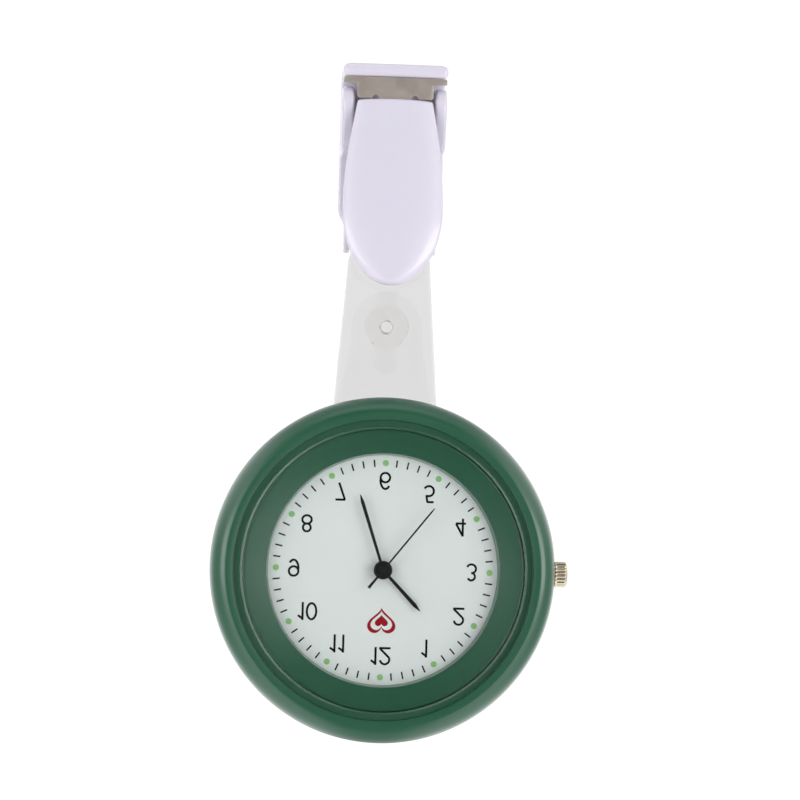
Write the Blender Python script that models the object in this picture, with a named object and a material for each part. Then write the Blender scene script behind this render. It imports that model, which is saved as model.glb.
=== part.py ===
"""A clip-on fob watch: spring clip, clear strap, round case, quartz movement and hands.

+Z is up, the dial faces -Y and the crown points to +X. The origin is the centre of the back
cover's outer face, so the case lies at y < 0. Twelve is at the bottom, because the wearer reads
the watch from above, and the hands turn anticlockwise as seen from the front.
"""

from math import cos, pi, radians, sin, sqrt, tan, tau

import bmesh
import bpy
from mathutils import Vector

MM = 0.001
AXES = {"X": Vector((1, 0, 0)), "Y": Vector((0, 1, 0)), "Z": Vector((0, 0, 1))}

# Watch case, turned about Y
CASE_R = 21.5 * MM
CASE_FRONT_Y = -8.2 * MM
CASE_BACK_Y = -0.35 * MM
FRONT_ROUND = (2.2 * MM, 2.9 * MM)
BACK_ROUND = (1.15 * MM, 1.75 * MM)
GROOVE_R = 18.6 * MM
GROOVE_Y = -7.45 * MM
CRYSTAL_POCKET_R = 17.83 * MM
CRYSTAL_SEAT_Y = -7.1 * MM
CASE_BORE_R = 17.52 * MM
COVER_BORE_R = 19.0 * MM
COVER_RECESS_R = 19.65 * MM
COVER_SHELF_Y = -1.05 * MM
GASKET_SHELF_Y = -3.0 * MM
CRYSTAL_FRONT_Y = -9.0 * MM
DIAL_OPENING_R = 14.45 * MM
DIAL_FRONT_Y = -5.35 * MM
DIAL_BACK_Y = -4.95 * MM
DIAL_FOOT_XZ = {"left": (-12 * MM, 3 * MM), "right": (12 * MM, -3 * MM)}

# Lugs and the spring bar that the strap turns on
PIN_Y = 1.1 * MM
PIN_Z = 19.22 * MM
PIN_R = 0.5 * MM
PIN_TIP_R = 0.3 * MM
PIN_AT = (0, PIN_Y, PIN_Z)
LUG_R = 0.65 * MM
LUG_INNER_X = 7.05 * MM
LUG_OUTER_X = 8.15 * MM
LUG_ROOT_Y = -1.4 * MM

# Clip
CLIP_HALF_W = 6.6 * MM
CLIP_BACK_Y = 3.2 * MM
CLIP_PLATE_FRONT_Y = 1.9 * MM
CLIP_TOP_Z = 63.3 * MM
EAR_INNER_X = 5.05 * MM
PIVOT_Y = -1.6 * MM
PIVOT_Z = 55.5 * MM
PIVOT_AT = (0, PIVOT_Y, PIVOT_Z)
TRUNNION_R = 1.0 * MM
BAR_Y = 1.1 * MM
BAR_Z = 41.2 * MM
BAR_R = 0.6 * MM
BAR_AT = (0, BAR_Y, BAR_Z)
FRAME_R = 1.3 * MM
FRAME_INNER_X = 5.08 * MM
FRAME_OUTER_X = 5.83 * MM
TONGUE_TOP_Z = 58.8 * MM
TONGUE_BOTTOM_Z = 35.5 * MM
TONGUE_HALF_W = 6.27 * MM
TONGUE_ROOT_HALF_W = 4.7 * MM
TONGUE_WIDEST_Z = 45.0 * MM
DECK_Y = -3.92 * MM
SPRING_T = 0.25 * MM
SPRING_Y = -4.08 * MM

# Strap
STRAP_T = 0.5 * MM
STUD_Z = 30.7 * MM
STUD_R = 2.6 * MM
STUD_AT = (0, 0, STUD_Z)
STRAP_BAR_HALF_W = 4.9 * MM
STRAP_PIN_HALF_W = 6.55 * MM

# Crown and stem, turned about X
STEM_Y = -3.4 * MM
STEM_AT = (0, STEM_Y, 0)
CROWN_R = 1.6 * MM
CROWN_TEETH = 20
CROWN_FLUTE = 0.13 * MM
LEVER_PIVOT_Z = 2.6 * MM
LEVER_LEVEL = (-3.5 * MM, -3.3 * MM)

# Movement
PLATE_FRONT_Y = -4.85 * MM
PLATE_BACK_Y = -4.0 * MM
BRIDGE_Y = (-2.2 * MM, -1.8 * MM)
BATTERY_XZ = (-5.1 * MM, -3.9 * MM)
BATTERY_R = 3.4 * MM
SCREW_XZ = ((-3.3 * MM, 0.3 * MM), (2.6 * MM, 2.5 * MM), (3.7 * MM, -4.4 * MM))
SECONDS_TEETH, INTERMEDIATE_PINION = 30, 8
INTERMEDIATE_TEETH, ROTOR_PINION = 48, 6
THIRD_TEETH, SECONDS_PINION = 60, 8
CENTRE_TEETH, THIRD_PINION = 64, 8
CANNON_TEETH, MINUTE_TEETH = 10, 30
HOUR_TEETH, MINUTE_PINION = 32, 8
SECONDS_MODULE = 0.15 * MM
CENTRE_MODULE = 0.075 * MM
ROTOR_MODULE = 0.08 * MM
MOTION_MODULE = 0.1 * MM
THIRD_REACH = (CENTRE_TEETH + THIRD_PINION) * CENTRE_MODULE / 2
THIRD_MODULE = 2 * THIRD_REACH / (THIRD_TEETH + SECONDS_PINION)
THIRD_ANGLE = radians(-70)
INTERMEDIATE_REACH = (SECONDS_TEETH + INTERMEDIATE_PINION) * SECONDS_MODULE / 2
INTERMEDIATE_ANGLE = radians(100)
ROTOR_REACH = (INTERMEDIATE_TEETH + ROTOR_PINION) * ROTOR_MODULE / 2
ROTOR_ANGLE = radians(155)
MINUTE_REACH = (CANNON_TEETH + MINUTE_TEETH) * MOTION_MODULE / 2
ARBOR_R = 0.11 * MM
ARBOR_ENDS = (-4.15 * MM, -1.85 * MM)
PIVOT_HOLE_R = 0.16 * MM

# Front and back face of each toothed wheel along Y, in millimetres
WHEEL_LEVELS = {
    "rotor_pinion": (-2.72, -2.42),
    "intermediate_wheel": (-2.65, -2.53),
    "intermediate_pinion": (-3.04, -2.6),
    "seconds_wheel": (-3.0, -2.88),
    "seconds_pinion": (-3.45, -2.95),
    "third_wheel": (-3.4, -3.28),
    "third_pinion": (-3.94, -3.35),
    "centre_wheel": (-3.9, -3.75),
    "cannon_pinion": (-4.55, -4.33),
    "minute_wheel": (-4.52, -4.4),
    "minute_pinion": (-4.82, -4.5),
    "hour_wheel": (-4.82, -4.7),
}

# Hands: the angle is counted from twelve, at the bottom, towards three, at +X
HANDS = {
    "hour_hand": {
        "angle": radians(43.6),
        "length": 6.85 * MM,
        "y": -6.0 * MM,
        "hub": 1.15 * MM,
        "hole": 0.78 * MM,
        "half_widths": (0.17 * MM, 0.26 * MM),
    },
    "minute_hand": {
        "angle": radians(198.4),
        "length": 9.77 * MM,
        "y": -6.37 * MM,
        "hub": 0.95 * MM,
        "hole": 0.49 * MM,
        "half_widths": (0.13 * MM, 0.21 * MM),
    },
    "seconds_hand": {
        "angle": radians(141.7),
        "length": 9.96 * MM,
        "y": -6.72 * MM,
        "hub": 1.06 * MM,
        "hole": 0.16 * MM,
        "half_widths": (0.09 * MM, 0.08 * MM),
        "tail": (2.84 * MM, 0.19 * MM),
        "pipe": 0.3 * MM,
    },
}

COLOURS = {
    "green_plastic": ((0.030, 0.100, 0.058), 0.18, 0.0),
    "clear_crystal": ((0.80, 0.88, 0.86), 0.05, 0.0),
    "dial_white": ((0.68, 0.73, 0.72), 0.5, 0.0),
    "hand_black": ((0.012, 0.011, 0.010), 0.35, 0.0),
    "clip_plastic": ((0.78, 0.75, 0.86), 0.25, 0.0),
    "clear_pvc": ((0.75, 0.75, 0.76), 0.2, 0.0),
    "spring_steel": ((0.40, 0.37, 0.33), 0.35, 1.0),
    "polished_steel": ((0.62, 0.62, 0.61), 0.2, 1.0),
    "nickel": ((0.50, 0.45, 0.36), 0.28, 1.0),
    "brass": ((0.62, 0.45, 0.17), 0.3, 1.0),
    "copper_wire": ((0.50, 0.16, 0.06), 0.35, 1.0),
    "holder_plastic": ((0.70, 0.70, 0.66), 0.5, 0.0),
    "movement_plastic": ((0.05, 0.05, 0.055), 0.45, 0.0),
    "board_green": ((0.02, 0.12, 0.05), 0.45, 0.0),
    "chip_black": ((0.01, 0.01, 0.01), 0.4, 0.0),
    "seal_rubber": ((0.02, 0.02, 0.02), 0.7, 0.0),
    "magnet": ((0.12, 0.12, 0.13), 0.4, 1.0),
}


def clear_scene():
    for obj in list(bpy.data.objects):
        bpy.data.objects.remove(obj)


def material(name):
    """The named material, made the first time that it is asked for."""
    if name in bpy.data.materials:
        return bpy.data.materials[name]
    colour, roughness, metallic = COLOURS[name]
    made = bpy.data.materials.new(name)
    made.use_nodes = True
    shader = made.node_tree.nodes["Principled BSDF"]
    shader.inputs["Base Color"].default_value = (*colour, 1)
    shader.inputs["Roughness"].default_value = roughness
    shader.inputs["Metallic"].default_value = metallic
    return made


def scaled(points):
    """Points given in millimetres, in metres."""
    return [tuple(value * MM for value in point) for point in points]


def finished(name, bm, surface, at=(0, 0, 0)):
    """The bmesh as a named object with its origin at the given point."""
    bmesh.ops.recalc_face_normals(bm, faces=bm.faces)
    mesh = bpy.data.meshes.new(name)
    bm.to_mesh(mesh)
    bm.free()
    mesh.materials.append(material(surface))
    mesh.shade_smooth()
    mesh.set_sharp_from_angle(angle=radians(35))
    obj = bpy.data.objects.new(name, mesh)
    obj.location = at
    bpy.context.scene.collection.objects.link(obj)
    return obj


def place(axis, u, v, along):
    """A point from two coordinates across an axis and one along it: (y, z), (x, z) or (x, y)."""
    return {"X": (along, u, v), "Y": (u, along, v), "Z": (u, v, along)}[axis]


def extruded(name, outline, low, high, surface, axis="Y", at=(0, 0, 0)):
    """A flat outline swept along an axis from low to high."""
    bm = bmesh.new()
    face = bm.faces.new([bm.verts.new(place(axis, u, v, low)) for u, v in outline])
    swept = bmesh.ops.extrude_face_region(bm, geom=[face])["geom"]
    moved = [v for v in swept if isinstance(v, bmesh.types.BMVert)]
    bmesh.ops.translate(bm, verts=moved, vec=AXES[axis] * (high - low))
    return finished(name, bm, surface, at)


def turned(name, profile, surface, axis="Y", at=(0, 0, 0), steps=48):
    """A closed profile of (radius, distance along the axis) spun round the axis."""
    bm = bmesh.new()
    points = [bm.verts.new(place(axis, 0, r, a)) for r, a in profile]
    pairs = [(k, (k + 1) % len(profile)) for k in range(len(profile))]
    edges = [bm.edges.new((points[a], points[b])) for a, b in pairs if profile[a][0] or profile[b][0]]
    bmesh.ops.spin(
        bm, geom=points + edges, cent=(0, 0, 0), axis=AXES[axis], angle=tau, steps=steps, use_merge=True
    )
    bmesh.ops.remove_doubles(bm, verts=bm.verts, dist=1e-7)
    return finished(name, bm, surface, at)


def rod(name, radius, low, high, surface, axis="Y", at=(0, 0, 0), steps=16):
    """A plain round bar along an axis."""
    outline = arc((0, 0), radius, 0, tau, steps)[:-1]
    return extruded(name, outline, low, high, surface, axis, at)


def drill(name, radius, low, high, axis="Y", at=(0, 0, 0), steps=16):
    """A round cutter, whose material never shows."""
    return rod(name, radius, low, high, "chip_black", axis, at, steps)


def box(name, low, high, surface="chip_black"):
    """A rectangular block between two corners."""
    outline = [(low[0], low[2]), (high[0], low[2]), (high[0], high[2]), (low[0], high[2])]
    return extruded(name, outline, low[1], high[1], surface)


def arc(centre, radius, start, end, steps):
    """Points of an arc, both ends included."""
    turn = [start + (end - start) * k / steps for k in range(steps + 1)]
    return [(centre[0] + radius * cos(t), centre[1] + radius * sin(t)) for t in turn]


def toothed_outline(teeth, module, phase=0.0):
    """A fine gear's outline: one point at each tooth's tip and one in each space."""
    tip, root, points = (teeth / 2 + 0.85) * module, (teeth / 2 - 1.1) * module, []
    for k in range(teeth):
        for radius, offset in ((root, -0.5), (tip, 0)):
            turn = tau * (k + phase + offset) / teeth
            points.append((radius * cos(turn), radius * sin(turn)))
    return points


def gear(name, teeth, module, at=(0, 0, 0), phase=0.0):
    """A brass wheel or pinion at its own level of the train."""
    low, high = WHEEL_LEVELS[name]
    return extruded(name, toothed_outline(teeth, module, phase), low * MM, high * MM, "brass", at=at)


def helper(obj):
    """Keeps an operand of a Boolean out of the model and out of renders."""
    obj.hide_render = True
    obj.display_type = "WIRE"
    return obj


def combined(target, operation, others):
    for other in others:
        step = target.modifiers.new(other.name, "BOOLEAN")
        step.operation = operation
        step.solver = "EXACT"
        step.object = helper(other)
    return target


def united(target, *others):
    return combined(target, "UNION", others)


def cut(target, *others):
    return combined(target, "DIFFERENCE", others)


def ribbon(name, stations, thickness, surface):
    """A strip of the given thickness along stations of (y, z, half width), both ends square."""
    bm, rings = bmesh.new(), []
    for k, (y, z, half) in enumerate(stations):
        before, after = stations[max(k - 1, 0)], stations[min(k + 1, len(stations) - 1)]
        run = Vector((after[0] - before[0], after[1] - before[1])).normalized()
        side = Vector((run.y, -run.x)) * thickness / 2
        corners = ((-half, side), (half, side), (half, -side), (-half, -side))
        rings.append([bm.verts.new((x, y + s.x, z + s.y)) for x, s in corners])
    skin(bm, rings)
    return finished(name, bm, surface)


def skin(bm, rings):
    """Quads between neighbouring rings of equal length, with a face over each end."""
    for lower, upper in zip(rings, rings[1:]):
        for k in range(len(lower)):
            following = (k + 1) % len(lower)
            bm.faces.new((lower[k], lower[following], upper[following], upper[k]))
    bm.faces.new(rings[0])
    bm.faces.new(rings[-1])


def hang(name, pivot, objects, parent=None):
    """An empty on a joint's axis that carries the objects. Nothing here is rotated."""
    empty = bpy.data.objects.new(name, None)
    empty.empty_display_size = 2 * MM
    base = Vector(parent["pivot"]) if parent else Vector((0, 0, 0))
    empty.location = Vector(pivot) - base
    empty["pivot"] = tuple(pivot)
    empty.parent = parent
    bpy.context.scene.collection.objects.link(empty)
    for obj in objects:
        obj.location = obj.location - Vector(pivot)
        obj.parent = empty
    return empty


# ---------------------------------------------------------------- case


def case_profile():
    """The case's section: quarter ovals outside, the crystal's groove and seat, and the back's recess."""
    across, along = FRONT_ROUND
    turns = [radians(angle) for angle in (0, 22, 42, 60, 76, 90)]
    front = [(CASE_R + across * (cos(t) - 1), CASE_FRONT_Y + along * (1 - sin(t))) for t in turns]
    across, along = BACK_ROUND
    turns = [radians(angle) for angle in (90, 60, 30, 0)]
    back = [(CASE_R + across * (cos(t) - 1), CASE_BACK_Y + along * (sin(t) - 1)) for t in turns]
    inside = [
        (GROOVE_R + 0.15 * MM, CASE_FRONT_Y),
        (GROOVE_R, CASE_FRONT_Y + 0.15 * MM),
        (GROOVE_R, GROOVE_Y),
        (CRYSTAL_POCKET_R, GROOVE_Y),
        (CRYSTAL_POCKET_R, CRYSTAL_SEAT_Y),
        (CASE_BORE_R, CRYSTAL_SEAT_Y),
        (CASE_BORE_R, GASKET_SHELF_Y),
        (COVER_BORE_R, GASKET_SHELF_Y),
        (COVER_BORE_R, COVER_SHELF_Y),
        (COVER_RECESS_R, COVER_SHELF_Y),
        (COVER_RECESS_R, CASE_BACK_Y),
    ]
    return [*back, *front, *inside]


def case_body():
    """The turned case with two lugs at the back of its top, bored for the pin and the crown's tube."""
    body = turned("case_body", case_profile(), "green_plastic")
    lug = arc((PIN_Y, PIN_Z), LUG_R, -pi / 2, pi / 2, 8)
    lug += [(LUG_ROOT_Y, PIN_Z + LUG_R), (LUG_ROOT_Y, PIN_Z - LUG_R)]
    left = extruded("lug_left", lug, -LUG_OUTER_X, -LUG_INNER_X, "green_plastic", axis="X")
    right = extruded("lug_right", lug, LUG_INNER_X, LUG_OUTER_X, "green_plastic", axis="X")
    united(body, left, right)
    pin_hole = drill("pin_hole", PIN_TIP_R + 0.04 * MM, -8.9 * MM, 8.9 * MM, "X", PIN_AT, 12)
    tube_hole = drill("tube_hole", 0.84 * MM, 16 * MM, 23 * MM, "X", STEM_AT)
    return cut(body, pin_hole, tube_hole)


def crystal():
    """A flat disc with a bevelled front edge."""
    edge, bevel = CRYSTAL_POCKET_R - 0.05 * MM, 0.28 * MM
    back, front = CRYSTAL_SEAT_Y - 0.04 * MM, CRYSTAL_FRONT_Y
    profile = [(0, back), (edge, back), (edge, front + bevel), (edge - bevel, front), (0, front)]
    return turned("crystal", profile, "clear_crystal")


def inner_ring():
    """The ring between crystal and dial: its face falls towards the dial and its wall leans in."""
    outer, fall, lean = CASE_BORE_R - 0.04 * MM, 0.3 * MM, 0.3 * MM
    front, back = CRYSTAL_SEAT_Y + 0.02 * MM, DIAL_FRONT_Y - 0.04 * MM
    profile = [(DIAL_OPENING_R, front + fall), (outer, front), (outer, back), (DIAL_OPENING_R - lean, back)]
    return turned("inner_ring", profile, "green_plastic")


def dial():
    """A thin disc with a hole for the hands' posts and two feet that enter the holder."""
    outer, hole = CASE_BORE_R - 0.1 * MM, 0.95 * MM
    profile = [(hole, DIAL_BACK_Y), (outer, DIAL_BACK_Y), (outer, DIAL_FRONT_Y), (hole, DIAL_FRONT_Y)]
    disc = turned("dial", profile, "dial_white", steps=36)
    low, high = DIAL_BACK_Y - 0.2 * MM, -4.0 * MM
    feet = [
        rod(f"dial_foot_{side}", 0.35 * MM, low, high, "dial_white", at=(x, 0, z), steps=10)
        for side, (x, z) in DIAL_FOOT_XZ.items()
    ]
    return united(disc, *feet)


def back_cover():
    """The press-fit back: a flat disc with a bevelled edge, and a rim that grips the case's bore."""
    rim_out, rim_in = COVER_BORE_R - 0.08 * MM, 18.35 * MM
    outer = COVER_RECESS_R - 0.07 * MM
    profile = [
        (0, -0.9 * MM),
        (rim_in - 0.3 * MM, -0.9 * MM),
        (rim_in, -1.2 * MM),
        (rim_in, -2.6 * MM),
        (rim_out, -2.6 * MM),
        (rim_out, COVER_SHELF_Y + 0.05 * MM),
        (outer, COVER_SHELF_Y + 0.05 * MM),
        (outer, -0.55 * MM),
        (outer - 0.35 * MM, -0.2 * MM),
        (18.3 * MM, 0),
        (0, 0),
    ]
    return turned("back_cover", profile, "polished_steel", steps=40)


def hoop(name, inner, outer, low, high, surface, axis="Y", at=(0, 0, 0), steps=16):
    """A ring with a square section, such as a gasket or a tube."""
    profile = [(inner, low), (outer, low), (outer, high), (inner, high)]
    return turned(name, profile, surface, axis, at, steps)


def back_gasket():
    inner, outer = CASE_BORE_R + 0.5 * MM, COVER_BORE_R - 0.1 * MM
    return hoop("back_gasket", inner, outer, -2.96 * MM, -2.65 * MM, "seal_rubber", steps=32)


def strap_pin():
    """The spring bar: a thick middle with a thin tip at each end."""
    shoulder, tip = 6.9 * MM, 8.0 * MM
    profile = [(0, -tip), (PIN_TIP_R, -tip), (PIN_TIP_R, -shoulder), (PIN_R, -shoulder)]
    profile += [(r, -a) for r, a in reversed(profile)]
    return turned("strap_pin", profile, "polished_steel", axis="X", at=PIN_AT, steps=14)


def crown_tube():
    return hoop("crown_tube", 0.5 * MM, 0.8 * MM, 19.15 * MM, 21.95 * MM, "polished_steel", "X", STEM_AT)


# ---------------------------------------------------------------- crown set


def crown():
    """A fluted button, domed at its end, with a bore for the stem and a wide mouth for tube and seal."""
    points = []
    for k in range(2 * CROWN_TEETH):
        turn, radius = tau * k / (2 * CROWN_TEETH), CROWN_R - CROWN_FLUTE * (k % 2 == 0)
        points.append((radius * cos(turn), radius * sin(turn)))
    body = extruded("crown", points, 21.6 * MM, 23.0 * MM, "nickel", axis="X", at=STEM_AT)
    dome = scaled([(0, 22.8), (1.42, 22.8), (1.42, 23.02), (1.15, 23.2), (0, 23.3)])
    united(body, turned("crown_dome", dome, "nickel", axis="X", at=STEM_AT, steps=24))
    mouth = drill("crown_mouth", 1.12 * MM, 21.0 * MM, 22.3 * MM, "X", STEM_AT, 20)
    bore = drill("crown_bore", 0.42 * MM, 22.0 * MM, 22.95 * MM, "X", STEM_AT, 12)
    return cut(body, mouth, bore)


def crown_gasket():
    return hoop("crown_gasket", 0.83 * MM, 1.07 * MM, 22.0 * MM, 22.25 * MM, "seal_rubber", "X", STEM_AT)


def winding_stem():
    """A rod with a neck for the setting lever and a longer, thinner nose inside the sliding pinion."""
    stages = [(0.25, 2.9), (0.25, 5.4), (0.4, 5.4), (0.4, 6.1), (0.25, 6.1), (0.25, 6.8), (0.4, 6.8)]
    profile = scaled([(0, 2.9), *stages, (0.38, 22.85), (0, 22.85)])
    return turned("winding_stem", profile, "polished_steel", axis="X", at=STEM_AT, steps=12)


def sliding_pinion():
    """A short bored barrel with a groove round it for the yoke's finger."""
    body = rod("sliding_pinion", 0.9 * MM, 3.95 * MM, 4.95 * MM, "brass", "X", STEM_AT)
    groove = hoop("pinion_groove", 0.6 * MM, 1.0 * MM, 4.25 * MM, 4.65 * MM, "brass", "X", STEM_AT)
    return cut(body, groove, drill("pinion_bore", 0.29 * MM, 3 * MM, 6 * MM, "X", STEM_AT, 10))


def keyless_lever(name, pivot_x, finger_x, finger_end_z, finger_half):
    """A flat lever on a pivot above the stem, with a finger that reaches down to it."""
    low, high = LEVER_LEVEL
    hub = rod(name, 0.5 * MM, low, high, "polished_steel", at=(pivot_x, 0, LEVER_PIVOT_Z), steps=14)
    lean, drop, root = finger_x - pivot_x, finger_end_z - LEVER_PIVOT_Z, (0.3 * MM, 0.1 * MM)
    finger = [(-root[0], root[1]), (lean - finger_half, drop), (lean + finger_half, drop), root]
    slack = 0.01 * MM
    arm = extruded(f"{name}_arm", finger, low + slack, high - slack, "polished_steel", at=hub.location)
    tail = box(f"{name}_tail", (-0.25 * MM, low, 0.2 * MM), (0.25 * MM, high, 1.3 * MM))
    tail.location = hub.location
    return united(hub, arm, tail)


# ---------------------------------------------------------------- movement


def movement_holder():
    """The ring round the movement, with a slot for the stem and holes for the dial's feet."""
    outer, low, high = CASE_BORE_R - 0.1 * MM, DIAL_BACK_Y + 0.05 * MM, -2.0 * MM
    ring = rod("movement_holder", outer, low, high, "holder_plastic", steps=36)
    window = box("holder_window", (-9.05 * MM, -6 * MM, -7.8 * MM), (9.05 * MM, -1 * MM, 7.8 * MM))
    stem_slot = box("stem_slot", (8 * MM, -4.3 * MM, -0.95 * MM), (19 * MM, -1 * MM, 0.95 * MM))
    feet = [
        drill(f"foot_hole_{side}", 0.45 * MM, -6 * MM, -3.8 * MM, at=(x, 0, z), steps=10)
        for side, (x, z) in DIAL_FOOT_XZ.items()
    ]
    return cut(ring, window, stem_slot, *feet)


def rounded_rectangle(half_x, half_z, radius):
    points = []
    for sx, sz, start in ((1, 1, 0), (-1, 1, 1), (-1, -1, 2), (1, -1, 3)):
        centre = (sx * (half_x - radius), sz * (half_z - radius))
        points += arc(centre, radius, start * pi / 2, (start + 1) * pi / 2, 4)
    return points


def main_plate():
    """The plate behind the dial: the bridge's posts, the motion work's recesses and the pivots' holes."""
    outline = rounded_rectangle(8.95 * MM, 7.7 * MM, 1.2 * MM)
    plate = extruded("main_plate", outline, PLATE_FRONT_Y, PLATE_BACK_Y, "movement_plastic")
    post_low, post_high = PLATE_BACK_Y - 0.2 * MM, BRIDGE_Y[0] - 0.04 * MM
    recess = (PLATE_FRONT_Y - 1 * MM, -4.3 * MM)
    posts, cutters = [], []
    for k, (x, z) in enumerate(SCREW_XZ):
        at = (x, 0, z)
        posts.append(rod(f"post_{k}", 0.6 * MM, post_low, post_high, "movement_plastic", at=at, steps=12))
        cutters.append(drill(f"post_hole_{k}", 0.3 * MM, PLATE_BACK_Y, 0, at=at, steps=10))
    united(plate, *posts)
    well_at = (BATTERY_XZ[0], 0, BATTERY_XZ[1])
    cutters += [
        drill("hour_recess", 1.95 * MM, *recess, steps=24),
        drill("minute_recess", 1.85 * MM, *recess, at=(MINUTE_REACH, 0, 0), steps=24),
        drill("centre_hole", 0.53 * MM, -6 * MM, -3 * MM, steps=14),
        drill("battery_well", BATTERY_R + 0.08 * MM, -4.36 * MM, -3 * MM, at=well_at, steps=28),
        box("pinion_window", (3.5 * MM, -6 * MM, -1.05 * MM), (5.4 * MM, -3 * MM, 1.05 * MM)),
    ]
    for k, (x, z) in enumerate((third_axis(), intermediate_axis(), rotor_axis())):
        cutters.append(drill(f"pivot_hole_{k}", PIVOT_HOLE_R, -4.2 * MM, -3 * MM, at=(x, 0, z), steps=8))
    return cut(plate, *cutters)


def polar(reach, angle, origin=(0, 0)):
    return origin[0] + reach * cos(angle), origin[1] + reach * sin(angle)


def third_axis():
    return polar(THIRD_REACH, THIRD_ANGLE)


def intermediate_axis():
    return polar(INTERMEDIATE_REACH, INTERMEDIATE_ANGLE)


def rotor_axis():
    return polar(ROTOR_REACH, ROTOR_ANGLE, intermediate_axis())


def train_bridge():
    """The flat bridge over the wheels, with holes for its screws and for the wheels' pivots."""
    corners = [(-4.1, -0.1), (-2.6, -1.0), (-1.3, -2.8), (-1.1, -5.2), (4.5, -5.4), (4.4, -3.6)]
    corners += [(3.2, -0.9), (3.5, 1.7), (3.5, 3.3), (1.6, 4.9), (-3.6, 4.9), (-4.1, 1.0)]
    bridge = extruded("train_bridge", scaled(corners), *BRIDGE_Y, "nickel")
    ends = (-3 * MM, -1 * MM)
    holes = [
        drill(f"bridge_hole_{k}", 0.34 * MM, *ends, at=(x, 0, z), steps=10)
        for k, (x, z) in enumerate(SCREW_XZ)
    ]
    for k, (x, z) in enumerate(((0, 0), third_axis(), intermediate_axis(), rotor_axis())):
        holes.append(drill(f"jewel_hole_{k}", PIVOT_HOLE_R, *ends, at=(x, 0, z), steps=8))
    return cut(bridge, *holes)


def bridge_screw(number, x, z):
    """A slotted cheese-head screw."""
    shank_r, head_r = 0.26 * MM, 0.55 * MM
    shank_end, head_low, head_high = -3.6 * MM, BRIDGE_Y[1] + 0.02 * MM, -1.5 * MM
    profile = [(0, shank_end), (shank_r, shank_end), (shank_r, head_low), (head_r, head_low)]
    profile += [(head_r, head_high), (0, head_high)]
    screw = turned(f"bridge_screw_{number}", profile, "polished_steel", at=(x, 0, z), steps=14)
    depth, half_slot, reach = 0.12 * MM, 0.07 * MM, 0.7 * MM
    slot = box(f"screw_slot_{number}", (-reach, head_high - depth, -half_slot), (reach, 0, half_slot))
    slot.location = (x, 0, z)
    return cut(screw, slot)


def battery_cell():
    """A button cell: a rounded can edge and a small step at its back."""
    low, rim, high, corner = -4.3 * MM, -1.95 * MM, -1.7 * MM, (0.5 * MM, 0.35 * MM)
    profile = [(0, low), (BATTERY_R - corner[0], low), (BATTERY_R, low + corner[1]), (BATTERY_R, rim)]
    profile += [(BATTERY_R - 0.15 * MM, high), (0, high)]
    at = (BATTERY_XZ[0], 0, BATTERY_XZ[1])
    return turned("battery_cell", profile, "polished_steel", at=at, steps=32)


def battery_strap():
    """A bent contact strip: up beside the cell, then flat across its back."""
    path = scaled([(-8.66, -3.95), (-8.66, -1.7), (-8.56, -1.58), (-2.6, -1.56), (-2.2, -1.62)])
    half_wide, half_thick, rings = 0.6 * MM, 0.05 * MM, []
    bm = bmesh.new()
    for k, (x, y) in enumerate(path):
        before, after = path[max(k - 1, 0)], path[min(k + 1, len(path) - 1)]
        run = Vector((after[0] - before[0], after[1] - before[1])).normalized()
        side = Vector((run.y, -run.x)) * half_thick
        corners = ((side, -half_wide), (side, half_wide), (-side, half_wide), (-side, -half_wide))
        rings.append([bm.verts.new((x + s.x, y + s.y, BATTERY_XZ[1] + z)) for s, z in corners])
    skin(bm, rings)
    return finished("battery_strap", bm, "spring_steel")


def stator():
    """The motor's iron plate: two arms that leave the coil free and a wide pole with the rotor's hole."""
    corners = [(-8.4, 6.7), (-8.4, 5.0), (-4.6, 2.6), (-1.3, 2.6), (-1.0, 3.35), (3.4, 3.35)]
    corners += [(3.4, 6.7), (1.85, 6.7), (1.85, 4.95), (-6.75, 4.95), (-6.75, 6.7)]
    plate = extruded("stator", scaled(corners), -3.5 * MM, -3.2 * MM, "spring_steel")
    x, z = rotor_axis()
    return cut(plate, drill("rotor_hole", 0.9 * MM, -4 * MM, -2 * MM, at=(x, 0, z), steps=20))


def coil():
    at = (0, -3.0 * MM, 6.2 * MM)
    return hoop("coil", 0.42 * MM, 0.95 * MM, -6.5 * MM, 1.6 * MM, "copper_wire", "X", at, 20)


def coil_core():
    low, high = scaled([(-8.3, -3.15, 5.95), (3.3, -2.85, 6.45)])
    return box("coil_core", low, high, "spring_steel")


def circuit_board():
    low, high = scaled([(4.6, -2.6, -7.3), (8.75, -2.4, -1.3)])
    return box("circuit_board", low, high, "board_green")


def ic_chip():
    low, high = scaled([(5.1, -3.15, -5.2), (6.7, -2.65, -3.6)])
    return box("ic_chip", low, high, "chip_black")


def quartz_can():
    at = (7.9 * MM, -3.3 * MM, 0)
    return rod("quartz_can", 0.62 * MM, -7.1 * MM, -2.1 * MM, "polished_steel", "Z", at)


def arbor(name, x, z):
    """A wheel's thin axle, from the plate's hole to the bridge's."""
    return rod(name, ARBOR_R, *ARBOR_ENDS, "brass", at=(x, 0, z), steps=10)


def rotor():
    x, z = rotor_axis()
    magnet = rod("rotor", 0.75 * MM, -3.7 * MM, -2.95 * MM, "magnet", at=(x, 0, z), steps=20)
    pinion = gear("rotor_pinion", ROTOR_PINION, ROTOR_MODULE, (x, 0, z), 0.5)
    return united(magnet, pinion, arbor("rotor_arbor", x, z))


def intermediate_wheel():
    x, z = intermediate_axis()
    wheel = gear("intermediate_wheel", INTERMEDIATE_TEETH, ROTOR_MODULE, (x, 0, z))
    pinion = gear("intermediate_pinion", INTERMEDIATE_PINION, SECONDS_MODULE, (x, 0, z))
    return united(wheel, pinion, arbor("intermediate_arbor", x, z))


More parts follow.
